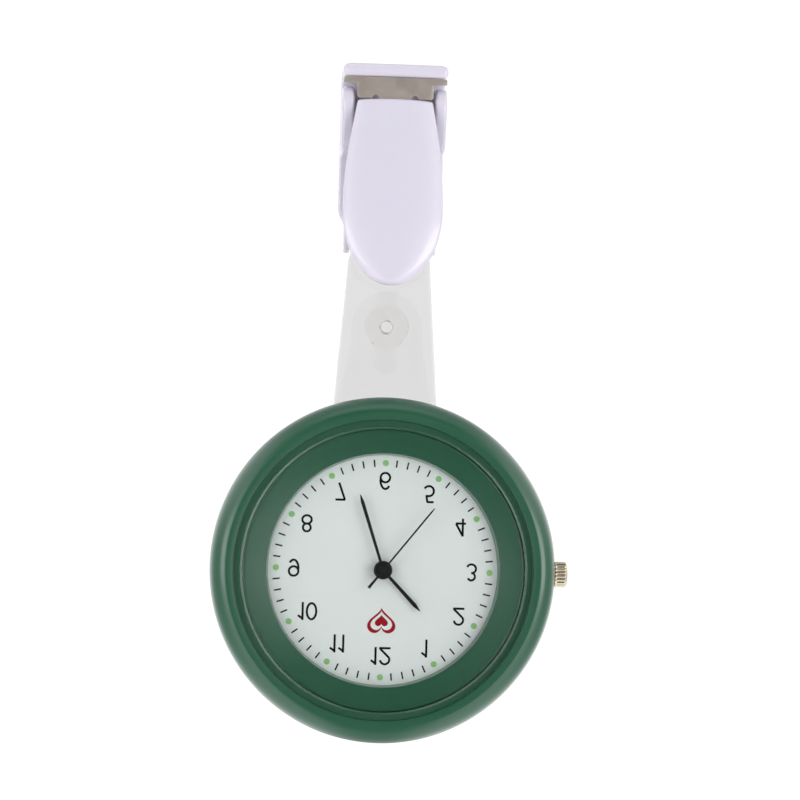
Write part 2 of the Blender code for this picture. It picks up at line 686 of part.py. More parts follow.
def seconds_wheel():
    """The arbor runs through the hollow centre wheel and carries the seconds hand."""
    wheel = gear("seconds_wheel", SECONDS_TEETH, SECONDS_MODULE, phase=0.3)
    pinion = gear("seconds_pinion", SECONDS_PINION, THIRD_MODULE)
    long_arbor = rod("seconds_arbor", 0.13 * MM, -6.62 * MM, ARBOR_ENDS[1], "brass", steps=10)
    return united(wheel, pinion, long_arbor)


def third_wheel():
    x, z = third_axis()
    wheel = gear("third_wheel", THIRD_TEETH, THIRD_MODULE, (x, 0, z), 0.5)
    pinion = gear("third_pinion", THIRD_PINION, CENTRE_MODULE, (x, 0, z))
    return united(wheel, pinion, arbor("third_arbor", x, z))


def centre_wheel():
    """The wheel behind the plate, with the cannon pinion and the minute hand's pipe in front of it."""
    wheel = gear("centre_wheel", CENTRE_TEETH, CENTRE_MODULE, phase=0.5)
    cannon = gear("cannon_pinion", CANNON_TEETH, MOTION_MODULE, phase=0.5)
    pipe = rod("cannon_pipe", 0.46 * MM, -6.42 * MM, -3.8 * MM, "brass")
    return cut(united(wheel, cannon, pipe), drill("cannon_bore", 0.2 * MM, -7 * MM, -3 * MM, steps=10))


def minute_wheel():
    at = (MINUTE_REACH, 0, 0)
    wheel = gear("minute_wheel", MINUTE_TEETH, MOTION_MODULE, at)
    return united(wheel, gear("minute_pinion", MINUTE_PINION, MOTION_MODULE, at))


def hour_wheel():
    """The wheel that carries the hour hand, on a pipe round the cannon pinion's."""
    wheel = gear("hour_wheel", HOUR_TEETH, MOTION_MODULE, phase=0.5)
    pipe = rod("hour_pipe", 0.75 * MM, -6.03 * MM, -4.75 * MM, "brass", steps=18)
    return cut(united(wheel, pipe), drill("hour_bore", 0.5 * MM, -7 * MM, -4 * MM))


# ---------------------------------------------------------------- hands


def hand(name, spec):
    """A lance-shaped blade on a round hub. The blade lies along +X before it is turned to its time."""
    length, y, (half_root, half_wide) = spec["length"], spec["y"], spec["half_widths"]
    half = [(0, half_root), (length - 1.4 * MM, half_wide), (length, 0.02 * MM)]
    outline = [(x, -z) for x, z in half] + [(x, z) for x, z in reversed(half)]
    if "tail" in spec:
        tail, tail_half = spec["tail"]
        outline += [(-tail, tail_half), (-tail, -tail_half)]
    turn = spec["angle"] - pi / 2
    outline = [(x * cos(turn) - z * sin(turn), x * sin(turn) + z * cos(turn)) for x, z in outline]
    blade = extruded(f"{name}_blade", outline, y + 0.02 * MM, y + 0.14 * MM, "hand_black")
    hub = rod(name, spec["hub"], y, y + 0.16 * MM, "hand_black", steps=24)
    united(hub, blade)
    bore_start = y - 0.5 * MM
    if "pipe" in spec:
        pipe_r, bore_start = spec["hole"] + 0.14 * MM, y + 0.08 * MM
        united(hub, rod(f"{name}_pipe", pipe_r, y + 0.1 * MM, y + spec["pipe"], "hand_black", steps=12))
    return cut(hub, drill(f"{name}_hole", spec["hole"], bore_start, y + 1 * MM, steps=18))


# ---------------------------------------------------------------- clip


def clip_rear_body():
    """Back plate with two cheeks for the lever's trunnions and a frame with the strap's bar."""
    half, low, top, r = CLIP_HALF_W, 43.6 * MM, CLIP_TOP_Z, 1.1 * MM
    outline = [(-FRAME_OUTER_X, low), (FRAME_OUTER_X, low), (half, low + 1.5 * MM)]
    outline += arc((half - r, top - r), r, 0, pi / 2, 5)
    outline += arc((r - half, top - r), r, pi / 2, pi, 5) + [(-half, low + 1.5 * MM)]
    body = extruded("clip_rear_body", outline, CLIP_PLATE_FRONT_Y, CLIP_BACK_Y, "clip_plastic")
    ear = scaled([(2.4, 52.2), (2.4, 60.7), (-2.0, 60.7), (-3.2, 60.2), (-3.9, 59.2), (-4.0, 57.8)])
    ear += scaled([(-2.2, 53.4), (-1.4, 52.8)])
    side = scaled([(2.9, 47), (2.2, 47), (-0.15, 41.7)])
    side += arc((BAR_Y, BAR_Z), FRAME_R, pi * 0.93, pi * 2, 10)
    pieces = []
    for sign, where in ((-1, "left"), (1, "right")):
        ear_low, ear_high = sorted((sign * EAR_INNER_X, sign * CLIP_HALF_W))
        frame_low, frame_high = sorted((sign * FRAME_INNER_X, sign * FRAME_OUTER_X))
        pieces.append(extruded(f"ear_{where}", ear, ear_low, ear_high, "clip_plastic", "X"))
        pieces.append(extruded(f"frame_{where}", side, frame_low, frame_high, "clip_plastic", "X"))
    pieces.append(rod("strap_bar", BAR_R, -5.5 * MM, 5.5 * MM, "clip_plastic", "X", BAR_AT, 12))
    united(body, *pieces)
    sockets = [
        drill(f"ear_socket_{k}", TRUNNION_R + 0.05 * MM, *span, "X", PIVOT_AT)
        for k, span in enumerate(((-6.0 * MM, -4.5 * MM), (4.5 * MM, 6.0 * MM)))
    ]
    return cut(body, *sockets)


def tongue_half_width(z):
    """Half the width of the thumb tongue: a slow flare to its widest, then a round end."""
    if z > TONGUE_WIDEST_Z:
        share = (TONGUE_TOP_Z - z) / (TONGUE_TOP_Z - TONGUE_WIDEST_Z)
        return TONGUE_ROOT_HALF_W + (TONGUE_HALF_W - TONGUE_ROOT_HALF_W) * sin(share * pi / 2)
    share = (TONGUE_WIDEST_Z - z) / (TONGUE_WIDEST_Z - TONGUE_BOTTOM_Z + 0.02 * MM)
    return TONGUE_HALF_W * sqrt(1 - share**2)


def tongue_front(z):
    """Where the tongue's front lies at mid width: it leans forward towards its lower end."""
    share = (TONGUE_TOP_Z - z) / (TONGUE_TOP_Z - TONGUE_BOTTOM_Z)
    return -5.5 * MM - 1.7 * MM * sin(share * pi / 2)


def thumb_tongue():
    bm, rings = bmesh.new(), []
    across = [-1, -0.75, -0.4, 0, 0.4, 0.75, 1]
    heights = [h * MM for h in (58.8, 56.5, 54, 51.5, 49, 46.5, 44, 42, 40)]
    heights += [TONGUE_BOTTOM_Z + rise * MM for rise in (2.6, 1.4, 0.7, 0.25, 0.05)]
    for z in heights:
        half, front = tongue_half_width(z), tongue_front(z)
        ring = [(u * half, front + 0.55 * MM * u**2 + 0.1 * MM) for u in across]
        ring += [(u * half * 0.96, front + 1.3 * MM + 0.35 * MM * u**2) for u in reversed(across)]
        rings.append([bm.verts.new((x, y, z)) for x, y in ring])
    skin(bm, rings)
    return finished("thumb_tongue", bm, "clip_plastic")


def clip_thumb_lever():
    """Jaw nose, deck, web with trunnions and thumb tongue, moulded in one."""
    web = [(-5.0, 58.5), (-3.9, 58.5), (-3.9, 62.2), (-2.6, 62.2), (-2.6, 57.6), (-0.4, 56.6)]
    web += [(-0.4, 54.5), (-1.5, 54.1), (-5.3, 54.2)]
    body = extruded("clip_thumb_lever", scaled(web), -4.9 * MM, 4.9 * MM, "clip_plastic", "X")
    profile = scaled([(-5.2, 61.75), (1.8, 61.75), (1.8, 62.7), (1.2, 63.3), (-4.6, 63.3), (-5.2, 62.7)])
    nose = extruded("jaw_nose", profile, -CLIP_HALF_W, CLIP_HALF_W, "clip_plastic", "X")
    half = CLIP_HALF_W - 0.05 * MM
    head = box("deck_head", (-half, DECK_Y, 60.8 * MM), (half, -2.5 * MM, 62.4 * MM))
    trunnions = rod("trunnions", TRUNNION_R, -5.9 * MM, 5.9 * MM, "clip_plastic", "X", PIVOT_AT)
    united(body, head, nose, thumb_tongue(), trunnions)
    return cut(body, box("spring_slot", *scaled([(-2.3, -4.3, 53), (2.3, -3.85, 59.2)])))


def clip_spring():
    """A T-shaped leaf: its head lies on the deck, its stem runs inside the lever to the back plate."""
    head_half, neck_half, stem_half = 6.5 * MM, 4.8 * MM, 2.0 * MM
    path = [(SPRING_Y, 61.68 * MM, head_half), (SPRING_Y, 60.85 * MM, head_half)]
    path += [(SPRING_Y, 60.83 * MM, neck_half), (SPRING_Y, 59.0 * MM, neck_half)]
    path += [(SPRING_Y, z * MM, stem_half) for z in (58.98, 57.0, 54.6)]
    bend = [(-3.75, 53.2), (-2.7, 51.9), (-1.1, 50.9), (0.4, 50.1), (1.4, 49.2), (1.68, 48.2), (1.5, 47.3)]
    path += [(y, z, stem_half) for y, z in scaled(bend)]
    return ribbon("clip_spring", path, SPRING_T, "spring_steel")


# ---------------------------------------------------------------- strap


def strap_half_width(z):
    """The front layer: narrow where it passes the clip's frame, then a steady taper wider."""
    frame_z, flare = 39.0 * MM, tan(radians(4.2))
    if z > 39.7 * MM:
        return STRAP_BAR_HALF_W
    if z > frame_z:
        return 5.15 * MM - (z - frame_z) * 0.357
    return 5.15 * MM + (frame_z - z) * flare


def strap():
    """One length: lower tail, loop round the pin, front layer, loop over the bar, upper tail."""
    lower = [(1.2, 35.0, 0.6), (1.2, 34.6, 2.1), (1.2, 34.0, 2.95), (1.2, 33.0, 3.75), (1.2, 31.8, 4.25)]
    lower += [(1.2, 30.2, 4.4), (1.3, 27.5, 4.7), (1.5, 25.0, 5.1), (1.72, 22.2, 5.7)]
    upper = [(2.0, 40.2, 4.9), (1.97, 38.5, 4.75), (1.93, 36.9, 4.3), (1.91, 36.1, 3.0), (1.89, 35.4, 1.5)]
    upper += [(1.88, 34.9, 1.15), (1.86, 33.9, 1.15), (1.85, 33.1, 1.5), (1.84, 32.6, 2.0)]
    upper += [(1.83, 31.9, 2.55), (1.82, 30.7, 2.85), (1.83, 29.5, 2.55), (1.86, 28.7, 1.9)]
    upper += [(1.9, 28.1, 1.5), (2.05, 26.2, 1.5), (2.13, 25.3, 1.2), (2.17, 24.8, 0.6)]
    pin_turn = arc((PIN_Y, PIN_Z), 0.8 * MM, 0, -pi, 12)
    bar_turn = arc((BAR_Y, BAR_Z), 0.9 * MM, pi, 0, 12)
    front = scaled([(0.28, 21.5), (0.28, 27), (0.28, 33), (0.24, 39.0), (0.24, 39.8)])
    path = scaled(lower) + [(y, z, STRAP_PIN_HALF_W) for y, z in pin_turn]
    path += [(y, z, strap_half_width(z)) for y, z in front]
    path += [(y, z, STRAP_BAR_HALF_W) for y, z in bar_turn] + scaled(upper)
    body = ribbon("strap", path, STRAP_T, "clear_pvc")
    return cut(body, drill("stud_hole", 0.82 * MM, 0.7 * MM, 3 * MM, at=STUD_AT))


def snap_stud():
    """The press-stud's male half: a flange in front of the lower tail and a post through both tails."""
    post = scaled([(0.75, 0.9), (0.75, 2.5), (0.6, 2.62), (0, 2.62)])
    profile = [(0, 0.56 * MM), (STUD_R, 0.56 * MM), (STUD_R, 0.9 * MM), *post]
    return turned("snap_stud", profile, "clear_pvc", at=STUD_AT, steps=28)


def snap_socket():
    """The female half, a cap behind the upper tail."""
    crown_end = scaled([(2.1, 3.1), (0, 3.1), (0, 2.68), (0.8, 2.68)])
    profile = [(0.8 * MM, 2.13 * MM), (STUD_R, 2.13 * MM), (STUD_R, 2.8 * MM), *crown_end]
    return turned("snap_socket", profile, "clear_pvc", at=STUD_AT, steps=28)


def main():
    clear_scene()
    lever_parts = [clip_thumb_lever()]
    clip_rear_body()
    clip_spring()
    strap_parts = [strap(), snap_stud(), snap_socket()]
    case_parts = [case_body(), inner_ring(), crystal(), dial(), back_cover(), back_gasket(), strap_pin()]
    case_parts += [crown_tube(), movement_holder(), main_plate(), train_bridge(), battery_cell()]
    case_parts += [battery_strap(), stator(), coil(), coil_core(), circuit_board(), ic_chip(), quartz_can()]
    case_parts += [bridge_screw(k + 1, x, z) for k, (x, z) in enumerate(SCREW_XZ)]
    wheels = [rotor(), intermediate_wheel(), seconds_wheel(), third_wheel(), centre_wheel()]
    wheels += [minute_wheel(), hour_wheel()]
    hands = [hand(name, spec) for name, spec in HANDS.items()]
    keyless = [sliding_pinion(), keyless_lever("setting_lever", 6.9 * MM, 6.45 * MM, 0.3 * MM, 0.15 * MM)]
    keyless.append(keyless_lever("yoke", 4.9 * MM, 4.45 * MM, 0.66 * MM, 0.11 * MM))
    strap_hinge = hang("strap_hinge", BAR_AT, strap_parts)
    case_hinge = hang("case_hinge", PIN_AT, case_parts + wheels + hands + keyless, strap_hinge)
    hang("crown_axis", STEM_AT, [crown(), crown_gasket(), winding_stem()], case_hinge)
    hang("lever_hinge", PIVOT_AT, lever_parts)


if __name__ == "__main__":
    main()
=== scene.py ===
"""Looks of a clip-on fob watch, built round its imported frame.

Shapes are worked out in millimetres and become metres when a grid is put into its mesh. +Z is up
along the hanging watch, the dial faces -Y, the crown points to +X and twelve is at the bottom.
"""

from math import cos, pi, radians, sin, tan, tau

import bmesh
import bpy
import numpy as np
from mathutils import Matrix, Vector


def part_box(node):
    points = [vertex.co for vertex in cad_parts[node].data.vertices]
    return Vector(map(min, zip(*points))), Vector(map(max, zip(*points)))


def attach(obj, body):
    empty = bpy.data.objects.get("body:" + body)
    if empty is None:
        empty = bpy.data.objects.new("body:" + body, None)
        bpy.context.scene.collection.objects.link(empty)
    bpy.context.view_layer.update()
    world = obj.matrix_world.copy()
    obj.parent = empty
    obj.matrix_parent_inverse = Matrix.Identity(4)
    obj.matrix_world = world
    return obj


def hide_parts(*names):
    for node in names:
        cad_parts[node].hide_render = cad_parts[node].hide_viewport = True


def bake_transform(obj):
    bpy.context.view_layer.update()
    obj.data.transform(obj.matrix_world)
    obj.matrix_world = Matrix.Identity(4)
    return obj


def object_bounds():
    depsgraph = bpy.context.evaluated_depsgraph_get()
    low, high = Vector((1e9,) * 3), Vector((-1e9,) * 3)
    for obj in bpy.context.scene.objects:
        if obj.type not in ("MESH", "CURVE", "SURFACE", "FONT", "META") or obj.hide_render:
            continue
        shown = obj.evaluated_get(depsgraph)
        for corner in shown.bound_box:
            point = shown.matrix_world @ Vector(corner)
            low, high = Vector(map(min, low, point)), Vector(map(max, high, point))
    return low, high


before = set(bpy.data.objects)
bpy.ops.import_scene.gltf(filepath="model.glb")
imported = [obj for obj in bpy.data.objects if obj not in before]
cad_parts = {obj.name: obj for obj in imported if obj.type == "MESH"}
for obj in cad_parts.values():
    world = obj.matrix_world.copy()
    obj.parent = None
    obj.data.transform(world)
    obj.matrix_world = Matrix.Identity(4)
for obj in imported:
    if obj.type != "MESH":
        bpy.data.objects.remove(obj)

bl_info = {
    "name": "Fob watch",
    "version": (1, 0, 0),
    "blender": (4, 5, 0),
    "location": "View3D > Sidebar > Fob Watch",
    "description": "Builds the finished surfaces, finishes and stage of a clip-on fob watch",
    "category": "Object",
}

MM = 0.001
CAD_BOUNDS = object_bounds()
CASE_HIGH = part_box("case_body")[1]
CRYSTAL_LOW, CRYSTAL_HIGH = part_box("crystal")
DIAL_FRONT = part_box("dial")[0].y
CROWN_LOW, CROWN_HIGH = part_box("crown")
PIN_LOW, PIN_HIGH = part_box("strap_pin")
CLIP_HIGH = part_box("clip_rear_body")[1]
STUD_LOW, STUD_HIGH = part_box("snap_stud")
SHARP_ANGLE = radians(38)
MERGE_DISTANCE = 2e-7
LAMP_PASSING = 0.95
FILM_WIDTH = 36.0

# Places and sizes that several pieces share, in millimetres
PIN_Y, PIN_Z = ((PIN_LOW + PIN_HIGH) / 2 / MM)[1:]
CROWN_Y = (CROWN_LOW.y + CROWN_HIGH.y) / 2 / MM
STUD_Z = (STUD_LOW.z + STUD_HIGH.z) / 2 / MM
PIVOT_Y, PIVOT_Z = -1.6, 55.5
BAR_Y, BAR_Z, BAR_R = 1.1, 41.2, 0.6
PIN_LOOP_R, PIN_LOOP_HALF_WIDTH = 0.8, 6.55
BAR_LOOP_R, BAR_LOOP_HALF_WIDTH = 0.9, 4.9
STRAP_FRONT_Y, STRAP_TAIL_Y = 0.28, 1.2
FRAME_INNER_X, FRAME_OUTER_X = 5.08, 5.83
CLIP_TOP_Z = 63.3
DECK_Y, SPRING_Y = -3.92, -4.08


def srgb(red, green, blue):
    """A colour given in 0 to 255 steps as the linear values that shaders use."""
    shares = [channel / 255 for channel in (red, green, blue)]
    return tuple(s / 12.92 if s <= 0.04045 else ((s + 0.055) / 1.055) ** 2.4 for s in shares)


# ---------------------------------------------------------------- settings


def length_setting(name, description, millimetres):
    return bpy.props.FloatProperty(
        name=name, description=description, default=millimetres * MM, min=0, precision=5, unit="LENGTH"
    )


def share_setting(name, description, default):
    return bpy.props.FloatProperty(
        name=name, description=description, default=default, min=0, max=1, subtype="FACTOR"
    )


def angle_setting(name, description, degrees):
    return bpy.props.FloatProperty(
        name=name, description=description, default=radians(degrees), subtype="ANGLE", unit="ROTATION"
    )


def colour_setting(name, description, red, green, blue):
    return bpy.props.FloatVectorProperty(
        name=name, description=description, default=srgb(
            red, green, blue
        ), size=3, min=0, max=1, subtype="COLOR"
    )


class CaseSettings(bpy.types.PropertyGroup):
    """Sizes and colours of the case, its ring, crystal, back and crown."""

    radius: length_setting("Radius", "Outer radius of the case", CASE_HIGH.x / MM)
    groove_radius: length_setting("Groove radius", "Outer wall of the groove round the crystal", 18.6)
    crystal_edge: length_setting("Crystal edge", "Width of the bevel round the crystal", 0.28)
    opening_radius: length_setting(
        "Opening radius", "Radius at which the ring opens onto the dial", 14.45
    )
    flute_count: bpy.props.IntProperty(
        name="Flutes", description="Grooves round the crown", default=20, min=6
    )
    flute_depth: length_setting("Flute depth", "Depth of each groove of the crown", 0.15)
    colour: colour_setting("Plastic", "Colour of the moulded case and ring", 28, 85, 61)
    crown_colour: colour_setting("Crown", "Warm nickel of the crown", 205, 194, 172)
    steel_colour: colour_setting("Steel", "Steel of the back and the strap pin", 205, 205, 203)


class DialSettings(bpy.types.PropertyGroup):
    """Printing on the dial."""

    marker_radius: length_setting("Marker radius", "Circle on which dots and minute marks stand", 13.2)
    dot_size: length_setting("Dot size", "Diameter of an hour dot", 0.76)
    mark_length: length_setting("Mark length", "Length of a minute mark", 0.9)
    mark_width: length_setting("Mark width", "Width of a minute mark", 0.185)
    numeral_radius: length_setting("Numeral radius", "Circle on which the single figures stand", 11.0)
    pair_inset: length_setting(
        "Pair inset", "How much nearer the middle ten, eleven and twelve stand", 0.4
    )
    numeral_height: length_setting("Numeral height", "Height of a numeral", 2.22)
    numeral_stroke: length_setting("Numeral stroke", "Width of a numeral's line", 0.27)
    emblem_drop: length_setting("Emblem place", "Distance of the heart from the hands' centre", 6.2)
    emblem_size: length_setting("Emblem size", "Half the width of the heart", 1.75)
    colour: colour_setting("Dial", "Paint of the dial", 248, 253, 252)
    ink_colour: colour_setting("Ink", "Ink of the numerals and marks", 8, 8, 9)
    dot_colour: colour_setting("Dots", "Paint of the hour dots", 156, 212, 138)
    emblem_colour: colour_setting("Heart", "Ink of the heart", 168, 22, 36)


class HandSettings(bpy.types.PropertyGroup):
    """Lengths, angles and colour of the hands. Angles are counted from twelve towards three."""

    hour_length: length_setting("Hour hand", "Length of the hour hand", 6.85)
    minute_length: length_setting("Minute hand", "Length of the minute hand", 9.77)
    seconds_length: length_setting("Seconds hand", "Length of the seconds hand", 9.96)
    seconds_tail: length_setting("Seconds tail", "Length of the seconds hand's tail", 2.84)
    hour_angle: angle_setting("Hour angle", "Angle of the hour hand from twelve", 43.6)
    minute_angle: angle_setting("Minute angle", "Angle of the minute hand from twelve", 198.4)
    seconds_angle: angle_setting("Seconds angle", "Angle of the seconds hand from twelve", 141.7)
    colour: colour_setting("Lacquer", "Lacquer of the hands", 13, 10, 9)


class ClipSettings(bpy.types.PropertyGroup):
    """Sizes and colours of the spring clip."""

    half_width: length_setting("Half width", "Half the width of the clip", CLIP_HIGH.x / MM)
    tongue_half_width: length_setting(
        "Tongue half width", "Half the widest part of the thumb tongue", 6.27
    )
    tongue_crown: length_setting(
        "Tongue crown", "How far the tongue's middle stands in front of its sides", 0.55
    )
    edge_round: length_setting("Edge rounding", "Rounding of the moulded edges", 0.28)
    spring_thickness: length_setting("Spring thickness", "Thickness of the leaf spring", 0.25)
    colour: colour_setting("Plastic", "Glossy plastic of the clip", 222, 218, 232)
    spring_colour: colour_setting("Spring", "Satin steel of the leaf spring", 188, 178, 170)


class StrapSettings(bpy.types.PropertyGroup):
    """Sizes and colour of the strap and its press-stud."""

    thickness: length_setting("Thickness", "Thickness of the strap", 0.5)
    stud_radius: length_setting("Stud radius", "Radius of the press-stud", 2.6)
    colour: colour_setting("Plastic", "Tint of the strap's front layer", 224, 223, 224)


class StageSettings(bpy.types.PropertyGroup):
    """Camera, lights and floor."""

    azimuth: angle_setting("Azimuth", "Turn of the camera round the watch", -3.0)
    elevation: angle_setting("Elevation", "Height of the camera above the horizon", -2.0)
    roll: angle_setting("Roll", "Turn of the picture", 1.6)
    lens: bpy.props.FloatProperty(
        name="Lens", description="Focal length in millimetres", default=150.0, min=20
    )
    frame_width: length_setting("Frame width", "Width of what the camera sees at the watch", 100.3)
    floor_drop: length_setting("Floor drop", "How far the floor lies under the case", 28.0)
    side_power: bpy.props.FloatProperty(
        name="Side lights", description="Watts of each side light", default=1.1, min=0
    )
    top_power: bpy.props.FloatProperty(
        name="Top light", description="Watts of the top light", default=0.2, min=0
    )
    front_shade: share_setting(
        "Front shade", "Share of the fill that comes from straight ahead of the dial", 0.11
    )
    side_boost: bpy.props.FloatProperty(
        name="Side boost", description="How much brighter the sides are", default=2.3, min=1
    )
    fill: share_setting("Fill", "Brightness of the surroundings in light and reflections", 0.59)


SETTINGS = {
    "fob_case": CaseSettings,
    "fob_dial": DialSettings,
    "fob_hands": HandSettings,
    "fob_clip": ClipSettings,
    "fob_strap": StrapSettings,
    "fob_stage": StageSettings,
}


# ---------------------------------------------------------------- surfaces


def placed(axis, u, v, along):
    """A grid from two coordinates across an axis and one along it."""
    u, v, along = np.broadcast_arrays(u, v, along)
    return np.stack({"X": (along, u, v), "Y": (u, along, v), "Z": (u, v, along)}[axis], -1)


def cleaned(obj):
    """Merges the vertices that lie together at seams and poles, and points the faces outwards."""
    bm = bmesh.new()
    bm.from_mesh(obj.data)
    bmesh.ops.remove_doubles(bm, verts=bm.verts, dist=MERGE_DISTANCE)
    bmesh.ops.dissolve_degenerate(bm, edges=bm.edges, dist=MERGE_DISTANCE)
    bmesh.ops.delete(bm, geom=[edge for edge in bm.edges if not edge.link_faces], context="EDGES")
    bmesh.ops.recalc_face_normals(bm, faces=bm.faces)
    bm.to_mesh(obj.data)
    bm.free()
    obj.data.shade_smooth()
    obj.data.set_sharp_from_angle(angle=SHARP_ANGLE)
    return obj


def linked(name, mesh):
    """A new object in the scene with that mesh."""
    obj = bpy.data.objects.new(name, mesh)
    bpy.context.scene.collection.objects.link(obj)
    return obj


def skinned(name, grid, ring=False):
    """A closed shell over a grid of points in millimetres, whose columns run round it.

    Row r and column c meet row r + 1 and column c + 1 in a quad, and the last column meets the
    first. With ring, the last row meets the first too. Otherwise a face closes each end.
    """
    rows, columns = grid.shape[:2]
    row = np.arange(rows if ring else rows - 1)[:, None]
    column = np.arange(columns)[None]
    next_row, next_column = (row + 1) % rows, (column + 1) % columns
    corners = [row * columns + column, row * columns + next_column]
    corners += [next_row * columns + next_column, next_row * columns + column]
    faces = np.stack(corners, -1).reshape(-1, 4).tolist()
    if not ring:
        ends = np.arange(columns)
        faces += [ends[::-1].tolist(), (ends + (rows - 1) * columns).tolist()]
    mesh = bpy.data.meshes.new(name)
    mesh.from_pydata((grid.reshape(-1, 3) * MM).tolist(), [], faces)
    return cleaned(linked(name, mesh))


def eased(corners, reach, steps=6):
    """A closed outline with rounded corners.

    Each corner C gives way to the curve (1 - t)^2 A + 2 t (1 - t) C + t^2 B, where A and B lie
    the reach before and after it, or just under half a side where the side is short.
    """
    corners = np.asarray(corners, float)
    reach = np.broadcast_to(np.asarray(reach, float), len(corners))

    def towards(other):
        side = other - corners
        length = np.linalg.norm(side, axis=1)
        return (corners + side * (np.minimum(reach, length * 0.48) / length)[:, None])[:, None]

    t = np.linspace(0, 1, steps)[None, :, None]
    start, end = towards(np.roll(corners, 1, 0)), towards(np.roll(corners, -1, 0))
    return ((1 - t) ** 2 * start + 2 * t * (1 - t) * corners[:, None] + t**2 * end).reshape(-1, 2)


def arc(centre, radius, start, end, steps=12):
    """Points of an arc or of an upright ellipse's arc, with the angles in degrees."""
    turn = np.radians(np.linspace(start, end, steps))
    reach = np.broadcast_to(np.asarray(radius, float), 2)
    return np.stack([centre[0] + reach[0] * np.cos(turn), centre[1] + reach[1] * np.sin(turn)], -1)


def turned(name, profile, axis="Y", at=(0, 0, 0), steps=192):
    """A closed profile of (radius, distance) spun round an axis: (r cos t, r sin t) across it."""
    radius, along = np.asarray(profile, float).T[:, :, None]
    turn = np.arange(steps)[None] * tau / steps
    return skinned(
        name, placed(axis, radius * np.cos(turn), radius * np.sin(turn), along) + np.array(at), ring=True
    )


def moulded(name, outline, low, high, axis, edge=0.2, steps=5):
    """An outline carried along an axis, with quarter-round ends.

    At an angle a of the quarter circle the ring lies edge (1 - cos a) from its end, and each of
    its points has moved in along the outline's normal by edge (1 - sin a).
    """
    outline = np.asarray(outline, float)
    run = np.roll(outline, -1, 0) - np.roll(outline, 1, 0)
    out = np.stack([run[:, 1], -run[:, 0]], -1) / np.linalg.norm(run, axis=1)[:, None]
    following = np.roll(outline, -1, 0)
    area = np.sum(outline[:, 0] * following[:, 1] - following[:, 0] * outline[:, 1])
    out *= np.sign(area)
    quarter = np.linspace(0, pi / 2, steps)
    inset, depth = edge * (1 - np.sin(quarter)), edge * (1 - np.cos(quarter))
    inset = np.concatenate([inset, inset[::-1]])
    along = np.concatenate([low + depth, (high - depth)[::-1]])
    ring = outline[None] - out[None] * inset[:, None, None]
    return skinned(name, placed(axis, ring[..., 0], ring[..., 1], along[:, None]))


def rod(name, radius, low, high, axis, at=(0, 0, 0), edge=0.05, steps=32):
    """A round bar with softened ends."""
    centre = np.array([place for place, letter in zip(at, "XYZ") if letter != axis])
    return moulded(name, arc((0, 0), radius, 0, 360, steps + 1)[:-1] + centre, low, high, axis, edge)


def combined(target, operation, *others):
    """Adds the others to the target, or takes them away, and leaves one closed surface."""
    for other in others:
        step = target.modifiers.new(other.name, "BOOLEAN")
        step.operation, step.solver, step.object = operation, "EXACT", other
    graph = bpy.context.evaluated_depsgraph_get()
    mesh = bpy.data.meshes.new_from_object(target.evaluated_get(graph))
    target.modifiers.clear()
    target.data = mesh
    for other in others:
        bpy.data.objects.remove(other)
    if not len(mesh.polygons):
        raise RuntimeError(f"{target.name} has no faces left")
    return cleaned(target)


def squared_oval(half_width, half_thickness, steps=40, squareness=4.0):
    """A section (across, through) whose corners are rounded: |x/a|^n + |y/b|^n = 1, n the squareness."""
    turn = np.arange(steps) * tau / steps
    across, through = np.cos(turn), np.sin(turn)
    power = 2 / squareness
    return (
        half_width * np.sign(across) * np.abs(across) ** power,
        half_thickness * np.sign(through) * np.abs(through) ** power,
    )


def smoothed(stations, rounds=2):
    """A row of stations with its corners cut.

    Each side gives the two points that lie a quarter and three quarters along it.
    """
    stations = np.asarray(stations, float)
    for _ in range(rounds):
        before, after = stations[:-1], stations[1:]
        cut = np.stack([0.75 * before + 0.25 * after, 0.25 * before + 0.75 * after], 1)
        stations = np.concatenate([stations[:1], cut.reshape(-1, stations.shape[1]), stations[-1:]])
    return stations


def ribbon(name, stations, thickness, squareness=5.0, steps=28):
    """A strip along stations of (y, z, half width): a squared oval set square to the path at each."""
    y, z, half = (column[:, None] for column in np.asarray(stations, float).T)
    run = np.gradient(np.concatenate([y, z], 1), axis=0)
    run /= np.linalg.norm(run, axis=1)[:, None]
    across, through = squared_oval(1.0, thickness / 2, steps, squareness)
    sides = np.broadcast_arrays(half * across, y + run[:, 1:] * through, z - run[:, :1] * through)
    return skinned(name, np.stack(sides, -1))


def finished(obj, material, body, slot, *nodes):
    """Gives a piece its material and body, and hides the CAD nodes that it stands for. Its slot is not used."""
    obj.data.materials.clear()
    obj.data.materials.append(material)
    if body:
        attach(obj, body)
    if nodes:
        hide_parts(*nodes)
    return obj


# ---------------------------------------------------------------- finishes


def feed(tree, socket, value):
    """Links an output to the socket, or sets the socket's own value."""
    if isinstance(value, bpy.types.NodeSocket):
        tree.links.new(value, socket)
    else:
        socket.default_value = value


def add(tree, kind, *ports, settings=None, **sockets):
    """A node of that kind, whose ports fill its inputs in order and whose sockets fill them by name."""
    node = tree.nodes.new(f"ShaderNode{kind}")
    for key, value in (settings or {}).items():
        setattr(node, key, value)
    named = [(node.inputs[k], value) for k, value in enumerate(ports)]
    named += [(node.inputs[key.replace("_", " ")], value) for key, value in sockets.items()]
    for socket, value in named:
        feed(tree, socket, value)
    return node


def maths(tree, operation, *ports):
    """The result of a Math node."""
    return add(tree, "Math", *ports, settings={"operation": operation}).outputs[0]


